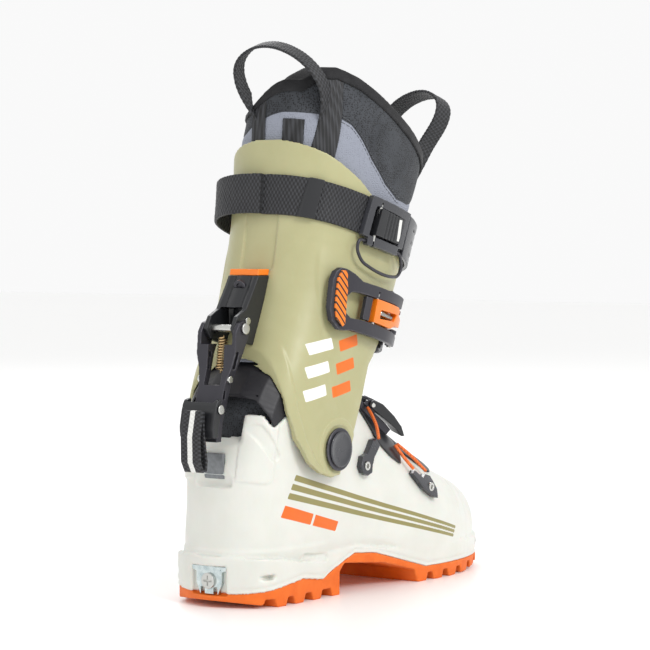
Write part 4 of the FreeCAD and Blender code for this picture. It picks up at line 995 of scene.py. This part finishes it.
@dataclass
class CuffBuckle:
    """Lever buckle on the outer side of the cuff."""
    stripe_mm: float = 4.3
    dark_mm: float = 1.5
    tooth_mm: float = 2.4           # half the spacing of the ladder's teeth
    turns: int = 16                 # of the adjuster's thread
    pitch: float = 1.15             # from one turn to the next

    def grip_stripes(self, co: Points) -> Points:
        """Slanted dark stripes of the grip."""
        p, _, q = to_leg(co)
        return self.dark_mm / 2 - np.abs(np.mod(q + 1.0 * p, self.stripe_mm) - self.stripe_mm / 2)

    def ladder_teeth(self, co: Points, normals: Points) -> Points:
        """Low teeth across the front of the ladder."""
        teeth = ramp(np.sin(co[:, 1] * math.pi / self.tooth_mm), 0.0, 0.5)
        return 0.5 * teeth * ramp(normals[:, 0], 0.3, 0.7)

    def thread(self) -> None:
        """Threaded adjuster in the catch's window."""
        low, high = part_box("catch_screw")
        middle = (low + high) / 2 / MM
        axis = from_leg(1, 0, 0) - from_leg(0, 0, 0)
        axis = (axis + Vector((0, 0.22, 0))).normalized()
        profile = [(-9.6, 0.1), (-9.5, 1.7)]
        for i in range(self.turns):
            profile += [(-9 + i * self.pitch, 1.35), (-8.6 + i * self.pitch, 1.9)]
        profile += [(9.6, 1.6), (9.7, 0.1)]
        dress(new_object("catch_screw_thread", turned_part("thread", profile, middle, axis, 28)), STAINLESS,
              "buckle_catch", ["catch_screw"])

    def build(self) -> None:
        """Makes the cuff's buckle."""
        hard_part("cuff_lever", ANODISED, 0.45)
        hard_part("lever_grip_insert", ORANGE, 0.35, 2, marks=[self.grip_stripes])
        hard_part("lever_crossbar", ANODISED, 0.35)
        hard_part("catch_pin", STAINLESS, 0.25)
        hard_part("buckle_pins", STAINLESS, 0.25)
        hard_part("buckle_catch", ORANGE, 0.35)
        hard_part("buckle_base", ANODISED, 0.4)
        hard_part("buckle_ladder", NYLON, 0.4, shape=self.ladder_teeth)
        self.thread()


@dataclass
class InstepClosure:
    """Cable buckle over the instep with its covers."""

    def build(self) -> None:
        """Makes the instep closure."""
        hard_part("instep_shield", NYLON, 0.4)
        hard_part("toe_shield", NYLON, 0.4)
        hard_part("instep_base", ANODISED, 0.35)
        hard_part("instep_pin", STAINLESS, 0.25)
        hard_part("instep_lever", NYLON, 0.35)
        hard_part("cable_anchors", ACETAL, 0.35)
        hard_part("anchor_screws", STAINLESS, 0.25)
        hard_part("ankle_cable", CABLE, 0.25)
        hard_part("toe_cable", CABLE, 0.25)


@dataclass
class Studio:
    """Camera, pale floor and soft light."""
    camera_at: tuple = (-1.22105, -0.92365, 0.23289)
    heading: float = 35.36
    tilt: float = 2.16
    lens: float = 132.8
    lamp_aim: tuple = (0.06, 0, 0.16)
    floor_half: float = 6000
    lamps: tuple = (("key", (-0.4, -1.9, 1.6), 0.7, 26.0), ("fill", (-2.2, 0.4, 0.8), 1.2, 2.0),
                    ("rim", (1.3, 1.3, 1.6), 0.8, 12.0))          # name, place, size in m and power in W

    def build(self) -> None:
        """Makes the studio."""
        data = bpy.data.cameras.new("camera")
        data.lens = self.lens
        camera = bpy.data.objects.new("camera", data)
        bpy.context.scene.collection.objects.link(camera)
        a, p = math.radians(self.heading), math.radians(self.tilt)
        forward = Vector((math.cos(a) * math.cos(p), math.sin(a) * math.cos(p), -math.sin(p)))
        turn = forward.to_track_quat("-Z", "Y").to_matrix().to_4x4()
        camera.matrix_world = Matrix.Translation(self.camera_at) @ turn
        bpy.context.scene.camera = camera
        corners = ((-1, -1), (1, -1), (1, 1), (-1, 1))
        mesh = mesh_from("floor", [(x * self.floor_half, y * self.floor_half, 0) for x, y in corners],
                         [(0, 1, 2, 3)])
        floor = new_object("studio_floor", mesh)
        paint = bpy.data.materials.new("floor_paint_white")
        paint.use_nodes = True
        shader = next(n for n in paint.node_tree.nodes if n.type == "BSDF_PRINCIPLED")
        shader.inputs["Base Color"].default_value = linear("#fcfcfb")
        shader.inputs["Roughness"].default_value = 0.35
        mesh.materials.append(paint)
        world = bpy.data.worlds.new("studio")
        world.use_nodes = True
        sky = next(n for n in world.node_tree.nodes if n.type == "BACKGROUND")
        sky.inputs["Color"].default_value = (1.0, 1.0, 1.0, 1.0)
        sky.inputs["Strength"].default_value = 0.95
        bpy.context.scene.world = world
        bpy.context.scene.view_settings.view_transform = "Standard"
        for name, place, size, power in self.lamps:
            light = bpy.data.lights.new(name, "AREA")
            light.size = size
            light.energy = power
            lamp = bpy.data.objects.new(name, light)
            bpy.context.scene.collection.objects.link(lamp)
            aim = Vector(self.lamp_aim) - Vector(place)
            turn = aim.to_track_quat("-Z", "Y").to_matrix().to_4x4()
            lamp.matrix_world = Matrix.Translation(place) @ turn


def main() -> None:
    """Builds the studio and the boot."""
    logging.basicConfig(level=logging.INFO, format="%(message)s")
    for part in (Studio(), LowerBoot(), Cuff(), Lining(), WalkLock(), CuffBuckle(), InstepClosure()):
        part.build()


if __name__ == "__main__":
    main()
